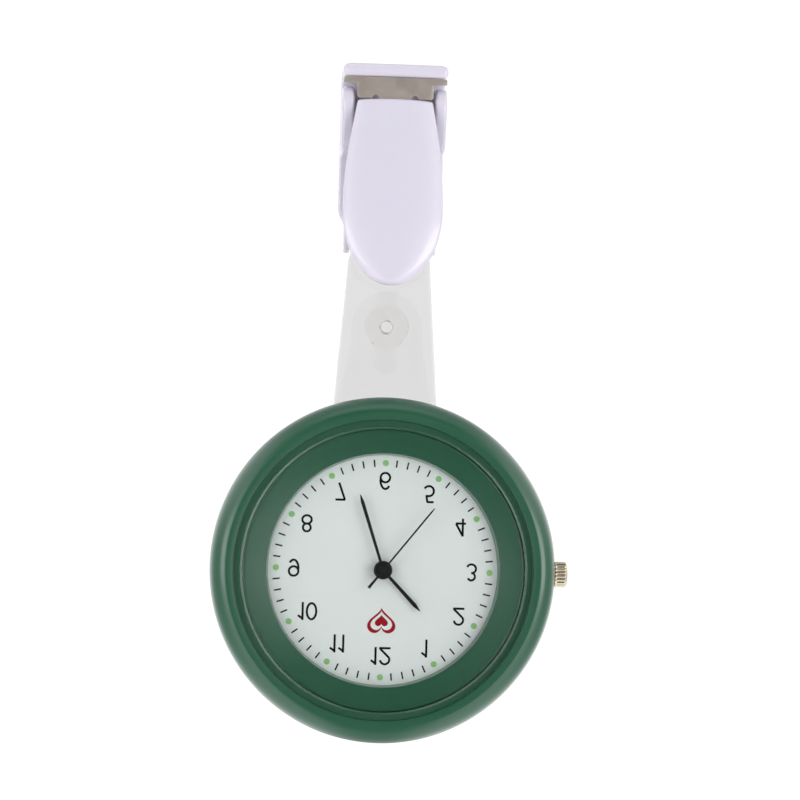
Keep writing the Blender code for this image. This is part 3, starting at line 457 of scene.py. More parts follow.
def effect(name, inputs, outputs):
    """A new shader node group with these sockets, what it is given and what it gives out."""
    tree = bpy.data.node_groups.new(name, "ShaderNodeTree")
    for label, kind, default in inputs:
        tree.interface.new_socket(
            label, in_out="INPUT", socket_type=f"NodeSocket{kind}"
        ).default_value = default
    for label, kind in outputs:
        tree.interface.new_socket(label, in_out="OUTPUT", socket_type=f"NodeSocket{kind}")
    return tree, tree.nodes.new("NodeGroupInput").outputs, tree.nodes.new("NodeGroupOutput").inputs


def moulded_skin():
    """Moulded plastic and paint: slow drift of colour and gloss, fine grain, and thin rubbed streaks."""
    inputs = [
        ("Colour", "Color", (0.5, 0.5, 0.5, 1)),
        ("Drift", "Float", 0.05),
        ("Grain size", "Float", 0.0002),
        ("Roughness", "Float", 0.3),
        ("Gloss drift", "Float", 0.06),
        ("Rubbing", "Float", 0.2),
    ]
    tree, given, out = effect(
        "moulded_skin", inputs, [("Colour", "Color"), ("Roughness", "Float"), ("Height", "Float")]
    )
    place = add(tree, "TexCoord").outputs["Object"]
    cloud = add(tree, "TexNoise", Vector=place, Scale=160.0, Detail=3.0).outputs["Fac"]
    drift = maths(tree, "MULTIPLY_ADD", cloud, 2.0, -1.0)
    fine_scale = maths(tree, "DIVIDE", 1.0, given["Grain size"])
    grain = add(tree, "TexNoise", Vector=place, Scale=fine_scale, Detail=2.0).outputs["Fac"]
    stretch = add(
        tree, "VectorMath", place, (2600.0, 900.0, 240.0), settings={"operation": "MULTIPLY"}
    ).outputs[0]
    streak = add(tree, "TexNoise", Vector=stretch, Scale=1.0, Detail=3.0, Distortion=0.4).outputs["Fac"]
    rubbed = add(tree, "MapRange", streak, 0.6, 0.74).outputs[0]
    rubbed = maths(tree, "MULTIPLY", rubbed, maths(tree, "MULTIPLY", given["Rubbing"], cloud))
    value = maths(tree, "MULTIPLY_ADD", drift, given["Drift"], 1.0)
    tree.links.new(
        add(tree, "HueSaturation", Value=value, Color=given["Colour"]).outputs[0], out["Colour"]
    )
    rough = maths(tree, "MULTIPLY_ADD", drift, given["Gloss drift"], given["Roughness"])
    tree.links.new(maths(tree, "ADD", rough, maths(tree, "MULTIPLY", rubbed, 0.5)), out["Roughness"])
    tree.links.new(maths(tree, "SUBTRACT", grain, rubbed), out["Height"])
    return tree


def tool_rings():
    """Turned metal: fine rings about the Y axis through the origin, a little broken round the turn."""
    inputs = [("Pitch", "Float", 0.0002), ("Roughness", "Float", 0.3), ("Gloss drift", "Float", 0.1)]
    tree, given, out = effect(
        "tool_rings", inputs, [("Roughness", "Float"), ("Height", "Float"), ("Shade", "Float")]
    )
    place = add(tree, "TexCoord").outputs["Object"]
    flat = add(tree, "VectorMath", place, (1.0, 0.0, 1.0), settings={"operation": "MULTIPLY"}).outputs[0]
    radius = add(tree, "VectorMath", flat, settings={"operation": "LENGTH"}).outputs["Value"]
    heading = add(
        tree, "SeparateXYZ", add(tree, "VectorMath", flat, settings={"operation": "NORMALIZE"}).outputs[0]
    )
    step = maths(tree, "DIVIDE", radius, given["Pitch"])
    spread = [maths(tree, "MULTIPLY", heading.outputs[k], 1.6) for k in (0, 2)]
    wound = add(tree, "CombineXYZ", step, *spread).outputs[0]
    rings = add(tree, "TexNoise", Vector=wound, Scale=1.0, Detail=3.0, Roughness=0.6).outputs["Fac"]
    centred = maths(tree, "SUBTRACT", rings, 0.5)
    tree.links.new(
        maths(tree, "MULTIPLY_ADD", centred, given["Gloss drift"], given["Roughness"]), out["Roughness"]
    )
    tree.links.new(rings, out["Height"])
    tree.links.new(maths(tree, "MULTIPLY_ADD", centred, 0.35, 1.0), out["Shade"])
    return tree


def brushed_lines():
    """Brushed metal: lines that are long where Stretch is small, with a slow drift of gloss."""
    inputs = [
        ("Stretch", "Vector", (400.0, 9000.0, 9000.0)),
        ("Roughness", "Float", 0.3),
        ("Gloss drift", "Float", 0.1),
    ]
    tree, given, out = effect(
        "brushed_lines", inputs, [("Roughness", "Float"), ("Height", "Float"), ("Shade", "Float")]
    )
    place = add(tree, "TexCoord").outputs["Object"]
    drawn = add(
        tree, "VectorMath", place, given["Stretch"], settings={"operation": "MULTIPLY"}
    ).outputs[0]
    lines = add(tree, "TexNoise", Vector=drawn, Scale=1.0, Detail=4.0, Roughness=0.65).outputs["Fac"]
    cloud = add(tree, "TexNoise", Vector=place, Scale=260.0, Detail=2.0).outputs["Fac"]
    mixed = maths(tree, "SUBTRACT", maths(tree, "ADD", lines, cloud), 1.0)
    tree.links.new(
        maths(tree, "MULTIPLY_ADD", mixed, given["Gloss drift"], given["Roughness"]), out["Roughness"]
    )
    tree.links.new(lines, out["Height"])
    tree.links.new(maths(tree, "MULTIPLY_ADD", mixed, 0.3, 1.0), out["Shade"])
    return tree


def edge_wear():
    """A mask of worn edges that also paints a highlight along them: where a rounded normal leaves the true one,
    broken up by noise.
    """
    inputs = [("Width", "Float", 0.0002), ("Amount", "Float", 0.5)]
    tree, given, out = effect("edge_wear", inputs, [("Mask", "Float")])
    rounded = add(tree, "Bevel", Radius=given["Width"], settings={"samples": 4}).outputs[0]
    true = add(tree, "NewGeometry").outputs["Normal"]
    same = add(tree, "VectorMath", rounded, true, settings={"operation": "DOT_PRODUCT"}).outputs["Value"]
    edge = add(tree, "MapRange", maths(tree, "SUBTRACT", 1.0, same), 0.02, 0.22).outputs[0]
    place = add(tree, "TexCoord").outputs["Object"]
    chips = add(tree, "TexNoise", Vector=place, Scale=900.0, Detail=4.0).outputs["Fac"]
    broken = maths(tree, "MULTIPLY", edge, add(tree, "MapRange", chips, 0.35, 0.65).outputs[0])
    tree.links.new(maths(tree, "MULTIPLY", broken, given["Amount"]), out["Mask"])
    return tree


EFFECTS = {}


def use(tree, make, **sockets):
    """Places an effect in a material with its own values."""
    if make.__name__ not in EFFECTS:
        EFFECTS[make.__name__] = make()
    node = tree.nodes.new("ShaderNodeGroup")
    node.node_tree = EFFECTS[make.__name__]
    for key, value in sockets.items():
        feed(tree, node.inputs[key.replace("_", " ")], value)
    return node.outputs


def new_material(name):
    """An empty material, its tree and its Principled shader."""
    material = bpy.data.materials.new(name)
    material.use_nodes = True
    tree = material.node_tree
    return material, tree, tree.nodes["Principled BSDF"]


def bump(tree, height, depth):
    """A normal from a height of 0 to 1, whose full step is depth metres."""
    return add(tree, "Bump", Height=height, Distance=depth).outputs["Normal"]


def worn(tree, colour, edges, mask):
    """A colour that gives way to the edge colour under the mask."""
    node = add(tree, "Mix", mask, settings={"data_type": "RGBA", "blend_type": "MIX"})
    for socket, value in zip([s for s in node.inputs if s.type == "RGBA"], (colour, edges)):
        feed(tree, socket, value)
    return next(s for s in node.outputs if s.type == "RGBA")


def plastic(
    name,
    colour,
    roughness=0.25,
    grain=0.00025,
    depth=2e-6,
    drift=0.04,
    rubbing=0.2,
    coat=0.0,
    wear=0.0,
    **fixed,
):
    """Moulded plastic, paint, rubber or resin."""
    material, tree, shader = new_material(name)
    skin = use(
        tree, moulded_skin, Colour=(*colour, 1), Drift=drift, Grain_size=grain, Roughness=roughness,
        Rubbing=rubbing,
        Gloss_drift=roughness * 0.2,
    )
    tinted = skin["Colour"]
    # Edges turn paler under the mask: partly wear, partly a painted highlight along the edges.
    if wear:
        mask = use(tree, edge_wear, Width=0.00018, Amount=wear)["Mask"]
        pale = tuple(min(1.0, channel * 1.5 + 0.03) for channel in colour)
        tinted = worn(tree, tinted, (*pale, 1), mask)
    tree.links.new(tinted, shader.inputs["Base Color"])
    tree.links.new(skin["Roughness"], shader.inputs["Roughness"])
    tree.links.new(bump(tree, skin["Height"], depth), shader.inputs["Normal"])
    shader.inputs["Coat Weight"].default_value = coat
    shader.inputs["Coat Roughness"].default_value = 0.06
    for key, value in fixed.items():
        shader.inputs[key.replace("_", " ")].default_value = value
    return material


def metal(name, colour, make, roughness=0.25, depth=1e-6, wear=0.0, **sockets):
    """Metal with turned rings or brushed lines."""
    material, tree, shader = new_material(name)
    lines = use(tree, make, Roughness=roughness, **sockets)
    shaded = add(tree, "HueSaturation", Value=lines["Shade"], Color=(*colour, 1)).outputs[0]
    # Edges turn brighter under the mask: partly wear, partly a painted highlight along the edges.
    if wear:
        mask = use(tree, edge_wear, Width=0.00012, Amount=wear)["Mask"]
        bright = tuple(min(1.0, channel * 1.35) for channel in colour)
        shaded = worn(tree, shaded, (*bright, 1), mask)
    tree.links.new(shaded, shader.inputs["Base Color"])
    tree.links.new(lines["Roughness"], shader.inputs["Roughness"])
    tree.links.new(bump(tree, lines["Height"], depth), shader.inputs["Normal"])
    shader.inputs["Metallic"].default_value = 1.0
    return material


def clear(name, colour, roughness, ior, depth=1e-6, grain=0.0006, drift=0.01, behind=None):
    """Clear plastic or glass that lets lamp light through to what lies behind it.

    With a behind colour, the tint gives way to it between 0.6 and 0.7 mm behind the origin.
    """
    material, tree, shader = new_material(name)
    skin = use(
        tree, moulded_skin, Colour=(*colour, 1), Drift=drift, Grain_size=grain, Roughness=roughness,
        Rubbing=0.1,
        Gloss_drift=roughness * 0.3,
    )
    tint = skin["Colour"]
    if behind:
        place = add(tree, "SeparateXYZ", add(tree, "TexCoord").outputs["Object"]).outputs["Y"]
        tint = worn(tree, tint, (*behind, 1), add(tree, "MapRange", place, 0.6 * MM, 0.7 * MM).outputs[0])
    tree.links.new(tint, shader.inputs["Base Color"])
    tree.links.new(skin["Roughness"], shader.inputs["Roughness"])
    tree.links.new(bump(tree, skin["Height"], depth), shader.inputs["Normal"])
    shader.inputs["Metallic"].default_value = 0.0
    shader.inputs["Transmission Weight"].default_value = 1.0
    shader.inputs["IOR"].default_value = ior
    through = add(tree, "BsdfTransparent", Color=(LAMP_PASSING, LAMP_PASSING, LAMP_PASSING, 1)).outputs[0]
    lamp = add(tree, "LightPath").outputs["Is Shadow Ray"]
    mixed = add(tree, "MixShader", lamp, shader.outputs[0], through).outputs[0]
    tree.links.new(mixed, tree.nodes["Material Output"].inputs["Surface"])
    return material


def make_finishes(scene):
    """Every finish by name, made once from the settings."""
    case, dial, hands, clip, strap = (getattr(scene, name) for name in list(SETTINGS)[:5])
    return {
        "green_plastic": plastic(
            "green_plastic",
            case.colour,
            0.36,
            0.0004,
            1.2e-6,
            0.05,
            0.1,
            coat=0.6,
            wear=0.25,
            Coat_Roughness=0.18,
        ),
        "ring_plastic": plastic(
            "ring_plastic", case.colour, 0.3, 0.0003, 4e-7, 0.03, 0.05, coat=0.6, Coat_Roughness=0.15
        ),
        "crystal": clear("crystal", (0.97, 0.985, 0.98), 0.015, 1.45, 4e-7),
        "dial_white": plastic(
            "dial_white", dial.colour, 0.42, 0.00008, 1.5e-6, 0.012, 0.0, Specular_IOR_Level=0.2
        ),
        "print_ink": plastic(
            "print_ink", dial.ink_colour, 0.5, 0.00006, 2e-6, 0.2, 0.0, Specular_IOR_Level=0.08
        ),
        "dot_paint": plastic(
            "dot_paint", dial.dot_colour, 0.55, 0.00008, 4e-6, 0.08, 0.0, Specular_IOR_Level=0.2
        ),
        "heart_ink": plastic(
            "heart_ink", dial.emblem_colour, 0.45, 0.00008, 2e-6, 0.08, 0.0, Specular_IOR_Level=0.1
        ),
        "hand_black": plastic(
            "hand_black", hands.colour, 0.3, 0.0001, 1e-6, 0.15, 0.1, wear=0.15, Specular_IOR_Level=0.3
        ),
        "clip_plastic": plastic(
            "clip_plastic",
            clip.colour,
            0.2,
            0.0005,
            1.2e-6,
            0.015,
            0.15,
            coat=0.4,
            Subsurface_Weight=0.15,
            Subsurface_Scale=0.001,
        ),
        "clear_pvc": clear(
            "clear_pvc", strap.colour, 0.06, 1.28, 1.5e-6, 0.0009, 0.02, behind=(0.985, 0.985, 0.98)
        ),
        "stud_pvc": clear("stud_pvc", (0.995, 0.995, 0.99), 0.03, 1.12, 8e-7, 0.0009, 0.02),
        "spring_steel": metal(
            "spring_steel",
            clip.spring_colour,
            brushed_lines,
            0.46,
            1.6e-6,
            0.3,
            Stretch=(2200.0, 2200.0, 9000.0),
            Gloss_drift=0.25,
        ),
        "turned_steel": metal(
            "turned_steel",
            case.steel_colour,
            tool_rings,
            0.24,
            1.4e-6,
            0.5,
            Pitch=0.00016,
            Gloss_drift=0.22,
        ),
        "steel": metal(
            "steel", case.steel_colour, brushed_lines, 0.2, 6e-7, 0.3, Stretch=(300.0, 8000.0, 8000.0)
        ),
        "nickel": metal(
            "nickel", case.crown_colour, brushed_lines, 0.24, 8e-7, 0.5, Stretch=(900.0, 5000.0, 5000.0)
        ),
        "brass": metal("brass", (0.66, 0.47, 0.18), tool_rings, 0.26, 8e-7, 0.4, Pitch=0.0001),
        "copper_wire": metal(
            "copper_wire", (0.62, 0.24, 0.10), brushed_lines, 0.3, 6e-6, Stretch=(16000.0, 300.0, 300.0)
        ),
        "holder_plastic": plastic("holder_plastic", (0.68, 0.68, 0.64), 0.5, 0.0003, 3e-6),
        "movement_plastic": plastic("movement_plastic", (0.045, 0.045, 0.05), 0.42, 0.0002, 3e-6),
        "board": plastic("board", (0.015, 0.11, 0.045), 0.35, 0.0002, 2e-6, 0.15),
        "chip": plastic("chip", (0.012, 0.012, 0.012), 0.5, 0.0001, 3e-6),
        "seal_rubber": plastic("seal_rubber", (0.02, 0.02, 0.021), 0.62, 0.0002, 4e-6),
        "magnet": plastic("magnet", (0.10, 0.10, 0.11), 0.4, 0.0001, 3e-6, Metallic=0.8),
    }


FINISHES = {}


def finish(name):
    """A finish by name. All are made on first use, when the settings are there."""
    if not FINISHES:
        FINISHES.update(make_finishes(bpy.context.scene))
    return FINISHES[name]


# ---------------------------------------------------------------- case pieces


def case_profile(case):
    """The case's section: a quarter oval to the front, the crystal's groove and seat, and the back's recess."""
    radius, groove = case.radius / MM, case.groove_radius / MM
    front = arc((radius - 2.2, -5.3), (2.2, -2.9), 0, 86, 20)
    back = arc((radius - 1.15, -2.1), (1.15, 1.75), 90, 0, 12)
    seat, bore, chamber, recess = 17.83, 17.52, 19.0, 19.65
    groove_y, seat_y, chamber_y, recess_y, back_y = -7.45, -7.1, -3.0, -1.05, -0.35
    inside = [(groove, -8.2), (groove, groove_y), (seat, groove_y), (seat, seat_y), (bore, seat_y)]
    inside += [(bore, chamber_y), (chamber, chamber_y), (chamber, recess_y), (recess, recess_y)]
    inside += [(recess, back_y), (20.35, back_y)]
    reach = [0.16, 0.1, 0.05, 0.03, 0.14, 0.1, 0.1, 0.05, 0.05, 0.08, 0.0]
    steps = 5
    return np.concatenate([back, front, eased(inside, reach, steps)[:-steps]])


def case_body(case):
    """The turned case with two lugs at the back of its top, and bores for the strap pin and crown tube."""
    body = turned("watch_case_shell", case_profile(case), steps=256)
    lug_radius, lug_root, lug_width = 0.65, -1.4, 1.1
    nose = arc((PIN_Y, PIN_Z), lug_radius, -90, 90, 17)
    outline = np.concatenate([nose, [(lug_root, PIN_Z + lug_radius), (lug_root, PIN_Z - lug_radius)]])
    lugs = [
        moulded(
            f"lug_{k}", outline, low, low + lug_width, "X", 0.18
        ) for k, low in enumerate((-8.15, 7.05))
    ]
    combined(body, "UNION", *lugs)
    pin_hole = rod("pin_hole", 0.34, -9, 9, "X", (0, PIN_Y, PIN_Z), steps=24)
    tube_hole = rod("tube_hole", 0.84, 16, 23, "X", (0, CROWN_Y, 0), steps=32)
    combined(body, "DIFFERENCE", pin_hole, tube_hole)
    return finished(body, finish("green_plastic"), "watch_case", "green_plastic", "case_body")


def inner_ring(case):
    """The ring under the crystal: its face falls a little towards the dial and its wall leans in."""
    opening, outer, front, back, fall = case.opening_radius / MM, 17.48, -7.08, -5.39, 0.3
    corners = [(opening, front + fall), (outer, front), (outer, back), (opening - fall, back)]
    profile = eased(corners, [0.12, 0.45, 0.03, 0.03], 9)
    ring = turned("chapter_ring", profile, steps=256)
    return finished(ring, finish("ring_plastic"), "watch_case", "green_plastic", "inner_ring")


def crystal(case):
    """The crystal: a flat disc with a bevelled front edge."""
    radius, front, back = CRYSTAL_HIGH.x / MM, CRYSTAL_LOW.y / MM, CRYSTAL_HIGH.y / MM
    bevel = case.crystal_edge / MM
    corners = [(0, back), (radius, back), (radius, front + bevel), (radius - bevel, front), (0, front)]
    disc = turned("watch_crystal", eased(corners, [0, 0.04, 0.05, 0.05, 0], 5), steps=256)
    return finished(disc, finish("crystal"), "watch_case", "crystal", "crystal")


def dial_plate():
    """The dial: a thin disc with a hole for the hands' posts."""
    hole, radius, front, back = 0.95, 17.42, DIAL_FRONT / MM, -4.95
    corners = [(hole, back), (radius, back), (radius, front), (hole, front)]
    disc = turned("dial_plate", eased(corners, [0.02, 0.05, 0.05, 0.06], 4), steps=192)
    return finished(disc, finish("dial_white"), "watch_case", "dial_white", "dial")


def back_cover():
    """The press-fit back: a flat face with two turned grooves, a bevelled edge with a notch, and a rim."""
    rim = [(0, -0.9), (18.05, -0.9), (18.35, -1.2), (18.35, -2.6), (18.92, -2.6), (18.92, -1.0)]
    edge = [(19.58, -1.0), (19.58, -0.55), (19.23, -0.2), (18.3, 0.0)]
    outer_groove = [(16.62, 0.0), (16.5, -0.09), (16.3, -0.09), (16.18, 0.0)]
    inner_groove = [(12.3, 0.0), (12.2, -0.05), (12.1, -0.05), (12.0, 0.0)]
    reach = [0, 0.1, 0.1, 0.1, 0.1, 0.05, 0.08, 0.12, 0.25, 0.35]
    reach += [0.04, 0.03, 0.03, 0.04, 0.03, 0.02, 0.02, 0.03, 0]
    profile = eased([*rim, *edge, *outer_groove, *inner_groove, (0, 0.0)], reach, 5)
    cover = turned("case_back", profile, steps=224)
    notch = eased([(-0.9, -20.2), (0.9, -20.2), (0.9, -19.0), (-0.9, -19.0)], 0.35)
    notch = moulded("notch", notch, -0.42, 0.5, "Y", 0.08)
    combined(cover, "DIFFERENCE", notch)
    return finished(cover, finish("turned_steel"), "watch_case", "steel", "back_cover")


def strap_pin():
    """The spring bar: a thick middle with a shoulder at each end and thin tips in the lugs."""
    tip, shoulder, half = 0.3, 6.9, 8.0
    right = [(0.5, shoulder), (tip, shoulder), (tip, half), (0, half)]
    left = [(r, -x) for r, x in reversed(right)]
    profile = eased([*left, *right], [0, 0.1, 0.02, 0.1, 0.1, 0.02, 0.1, 0], 5)
    pin = turned("spring_bar", profile, "X", (0, PIN_Y, PIN_Z), 40)
    return finished(pin, finish("steel"), "watch_case", "steel", "strap_pin")


def crown(case):
    """The crown: a turned profile whose rim is pressed in by flutes.

    At the turn t a rim point lies depth times (0.5 + 0.5 cos(n t))^2 nearer the axis, with n the
    number of flutes, and the flutes fade out within 0.2 mm of the rim's ends.
    """
    start, end, rim = CROWN_LOW.x / MM, CROWN_HIGH.x / MM, 1.6
    corners = [(0.42, start + 0.7), (1.12, start + 0.7), (1.12, start), (rim, start), (rim, end - 0.3)]
    corners += [(1.2, end - 0.1), (0.62, end), (0, end), (0, end - 0.35), (0.42, end - 0.35)]
    reach = [0, 0.02, 0.05, 0.12, 0.22, 0.3, 0.3, 0, 0, 0]
    corner_steps, rim_steps = 7, 9
    profile = eased(corners, reach, corner_steps)
    along_rim = np.linspace(start + 0.13, end - 0.53, rim_steps)
    split = 4 * corner_steps
    rim_points = np.stack([np.full(rim_steps, rim), along_rim], -1)
    profile = np.concatenate([profile[:split], rim_points, profile[split:]])
    radius, along = profile.T[:, :, None]
    steps = case.flute_count * 14
    turn = np.arange(steps)[None] * tau / steps
    fade = np.clip((along - start) / 0.2, 0, 1) * np.clip((end - 0.16 - along) / 0.2, 0, 1)
    on_rim = np.clip((radius - 1.3) / 0.3, 0, 1)
    pressed = case.flute_depth / MM * (0.5 + 0.5 * np.cos(case.flute_count * turn)) ** 2
    radius = radius - pressed * fade * on_rim
    grid = placed("X", radius * np.cos(turn), radius * np.sin(turn), along) + np.array((0, CROWN_Y, 0))
    button = skinned("crown_button", grid, ring=True)
    return finished(button, finish("nickel"), "crown", "nickel", "crown")


# ---------------------------------------------------------------- dial printing and hands


def print_slab(name, outlines, thickness=0.014):
    """Printed shapes on the dial, each an outline of (x, z) points carried a hair in front of it.

    Neighbours differ a little in thickness, so that none share a face where they overlap.
    """
    parts, y = [], DIAL_FRONT / MM
    for k, outline in enumerate(outlines):
        lift = thickness + 0.0006 * (k % 5)
        parts.append(moulded(f"{name}_{k}", outline, y - lift, y + 0.004, "Y", 0.003, 2))
    return joined(name, parts)


def joined(name, parts):
    """Several shells in one mesh."""
    bm = bmesh.new()
    for part in parts:
        bm.from_mesh(part.data)
        bpy.data.objects.remove(part)
    mesh = bpy.data.meshes.new(name)
    bm.to_mesh(mesh)
    bm.free()
    return cleaned(linked(name, mesh))


def stroke(points, width):
    """The outline of a line of even width through the points, with square ends."""
    points = np.asarray(points, float)
    run = np.gradient(points, axis=0)
    side = np.stack([-run[:, 1], run[:, 0]], -1) / np.linalg.norm(run, axis=1)[:, None] * width / 2
    return np.concatenate([points + side, (points - side)[::-1]])


def line(*points, steps=7):
    """Evenly spaced points along a bent line, close together at its bends so that they stay crisp."""
    points = np.asarray(points, float)
    share = np.concatenate([np.linspace(k, k + 1, steps) for k in range(len(points) - 1)])
    return np.stack([np.interp(share, np.arange(len(points)), points[:, k]) for k in (0, 1)], -1)


def digit_strokes(digit):
    """Centre lines of a digit in a geometric face, one unit high with its middle at the origin."""
    if digit == 0:
        return [arc((0, 0), (0.26, 0.445), start, start + 180, 24) for start in (90, -90)], 0.63
    if digit == 1:
        return [line((0.06, -0.5), (0.06, 0.5)), line((0.09, 0.44), (-0.2, 0.235))], 0.48
    if digit == 2:
        bowl = arc((0, 0.19), (0.255, 0.255), 172, -32, 26)
        neck = np.concatenate([bowl, line(bowl[-1], (-0.275, -0.42))[1:]])
        return [neck, line((-0.32, -0.445), (0.31, -0.445))], 0.67
    if digit == 3:
        upper = arc((-0.02, 0.235), (0.205, 0.21), 155, -88, 26)
        return [upper, arc((-0.02, -0.2), (0.255, 0.245), 92, -158, 28)], 0.60
    if digit == 4:
        ends = [
            ((0.1, -0.5), (0.1, 0.5)), ((0.1, 0.46), (-0.27, -0.19)), ((-0.3, -0.225), (0.27, -0.225))
        ]
        return [line(*pair) for pair in ends], 0.66
    if digit == 5:
        bowl = arc((-0.03, -0.165), (0.275, 0.28), 118, -152, 30)
        return [line((-0.12, 0.445), (0.25, 0.445)), line((-0.1, 0.47), (-0.165, 0.06)), bowl], 0.62
    if digit in (6, 9):
        ring = [arc((0, -0.185), (0.262, 0.26), start, start + 180, 22) for start in (90, -90)]
        strokes = [*ring, arc((0.01, -0.04), (0.275, 0.485), 186, 40, 34)]
        return ([-s for s in strokes] if digit == 9 else strokes), 0.64
    if digit == 7:
        return [line((-0.27, 0.445), (0.28, 0.445)), line((0.262, 0.45), (-0.08, -0.5))], 0.60
    upper, lower = ((0, 0.225), (0.215, 0.22)), ((0, -0.215), (0.26, 0.235))
    halves = [(*upper, 90, 270), (*upper, -90, 90), (*lower, 90, 270), (*lower, -90, 90)]
    return [arc(*half, 24) for half in halves], 0.62


def numeral_outlines(number, centre, height, width):
    """The outlines of a number round a centre on the dial. The dial is read from above, so z runs down."""
    digits = [digit_strokes(int(character)) for character in str(number)]
    total = sum(advance for _, advance in digits)
    start, outlines = -total / 2, []
    for strokes, advance in digits:
        middle = start + advance / 2
        for points in strokes:
            shape = stroke(points, width / height) + (middle, 0)
            outlines.append(
                np.stack([centre[0] + shape[:, 0] * height, centre[1] - shape[:, 1] * height], -1)
            )
        start += advance
    return outlines


def around_dial(radius, angle):
    """The point of the dial at an angle from twelve, at the bottom, towards three, at +X."""
    return np.array((radius * sin(angle), -radius * cos(angle)))


def dial_marks(dial):
    """Sixty places round the dial: a dot at each hour and a mark at each minute between."""
    radius = dial.marker_radius / MM
    length, width = dial.mark_length / MM, dial.mark_width / MM
    marks, dots = [], []
    for minute in range(60):
        turn = tau * minute / 60
        if minute % 5:
            ends = [around_dial(radius + side * length / 2, turn) for side in (-1, 1)]
            marks.append(stroke(np.linspace(*ends, 3), width))
        else:
            dots.append(arc(around_dial(radius, turn), dial.dot_size / MM / 2, 0, 360, 25)[:-1])
    finished(print_slab("minute_marks", marks), finish("print_ink"), "watch_case", "hand_black")
    finished(print_slab("hour_dots", dots, 0.03), finish("dot_paint"), "watch_case", "green_plastic")


def dial_numerals(dial):
    """The twelve numbers, upright for a wearer who looks down at the dial."""
    outlines = []
    for hour in range(1, 13):
        inset = dial.pair_inset if hour > 9 else 0.0
        centre = around_dial((dial.numeral_radius - inset) / MM, tau * hour / 12)
        outlines += numeral_outlines(hour, centre, dial.numeral_height / MM, dial.numeral_stroke / MM)
    finished(print_slab("numerals", outlines), finish("print_ink"), "watch_case", "hand_black")


def dial_heart(dial):
    """A small heart inside an outlined one, each the same curve at its own scale.

    The curve is x = 16 sin^3 t and z = 13 cos t - 5 cos 2t - 2 cos 3t - cos 4t.
    """
    t = np.linspace(0, tau, 97)[:-1]
    x = 16 * np.sin(t) ** 3
    z = 13 * np.cos(t) - 5 * np.cos(2 * t) - 2 * np.cos(3 * t) - np.cos(4 * t) + 2.5
    heart, middle = np.stack([x, -z], -1) * dial.emblem_size / MM / 16, (0, -dial.emblem_drop / MM)
    layers = (
        ("heart_outline", 1.0, 0.014, "heart_ink", "hand_black"),
        ("heart_field", 0.76, 0.02, "dial_white", "dial_white"),
        ("heart_core", 0.46, 0.026, "heart_ink", "hand_black"),
    )
    for name, share, thickness, surface, slot in layers:
        slab = print_slab(name, [heart * share + middle], thickness)
        finished(slab, finish(surface), "watch_case", slot)


def blade(name, front, stations, angle):
    """A hand's blade: half widths along its length, with a crowned front 0.05 mm lower at its edges."""
    distance, half = np.asarray(stations, float).T
    along = np.unique(np.concatenate([distance, np.linspace(distance[0], distance[-1], 24)]))
    half = np.interp(along, distance, half)[:, None]
    across = np.array([-1, -0.97, -0.7, -0.35, 0, 0.35, 0.7, 0.97, 1, 1, 0, -1])[None]
    depth = np.array([0.1, 0.04, 0.022, 0.008, 0, 0.008, 0.022, 0.04, 0.1, 0.14, 0.14, 0.14])[None]
    run, side = around_dial(1, angle), around_dial(1, angle + pi / 2)
    flat = along[:, None, None] * run + (half * across)[..., None] * side
    return skinned(name, placed("Y", flat[..., 0], flat[..., 1], front + depth))


def hands(settings):
    """Three lance hands on hubs. The seconds hub, in front, has turned rings and a domed cap."""
    lance = {"hour": (0.19, 0.25), "minute": (0.17, 0.22), "seconds": (0.11, 0.105)}
    hubs = {"hour": (0.78, 1.15), "minute": (0.49, 0.97), "seconds": (0.0, 1.06)}
    bodies = {"hour": "hours", "minute": "minutes", "seconds": "seconds_train"}
    fronts = {"hour": -6.0, "minute": -6.37, "seconds": -6.74}
    back = 0.16
    for hand, front in fronts.items():
        length = getattr(settings, f"{hand}_length") / MM
        angle = getattr(settings, f"{hand}_angle")
        root, wide = lance[hand]
        inner, outer = hubs[hand]
        tip = [(length - 0.95, wide), (length - 0.12, 0.07), (length, 0.02)]
        if hand == "seconds":
            stations = [(-settings.seconds_tail / MM, 0.19), (-0.9, 0.13), (0.0, root), *tip]
            corners = [(0, back), (outer, back), (outer, 0.02), (0.86, 0.0), (0.8, 0.09), (0.68, 0.09)]
            corners += [(0.62, 0.0), (0.46, 0.0), (0.42, 0.07), (0.32, 0.07), (0.28, -0.02), (0, -0.05)]
            reach = [0, 0.03, 0.05, 0.02, 0.02, 0.02, 0.02, 0.02, 0.02, 0.02, 0.08, 0]
        else:
            stations = [(0.9, root), *tip]
            corners, reach = [(inner, back), (outer, back), (outer, 0), (inner, 0)], [0, 0.03, 0.05, 0]
        profile = eased(corners, reach, 4) + (0, front)
        piece = turned(f"{hand}_hand_piece", profile, steps=64)
        combined(piece, "UNION", blade(f"{hand}_blade", front + 0.01, stations, angle))
        finished(piece, finish("hand_black"), bodies[hand], "hand_black", f"{hand}_hand")


# ---------------------------------------------------------------- clip


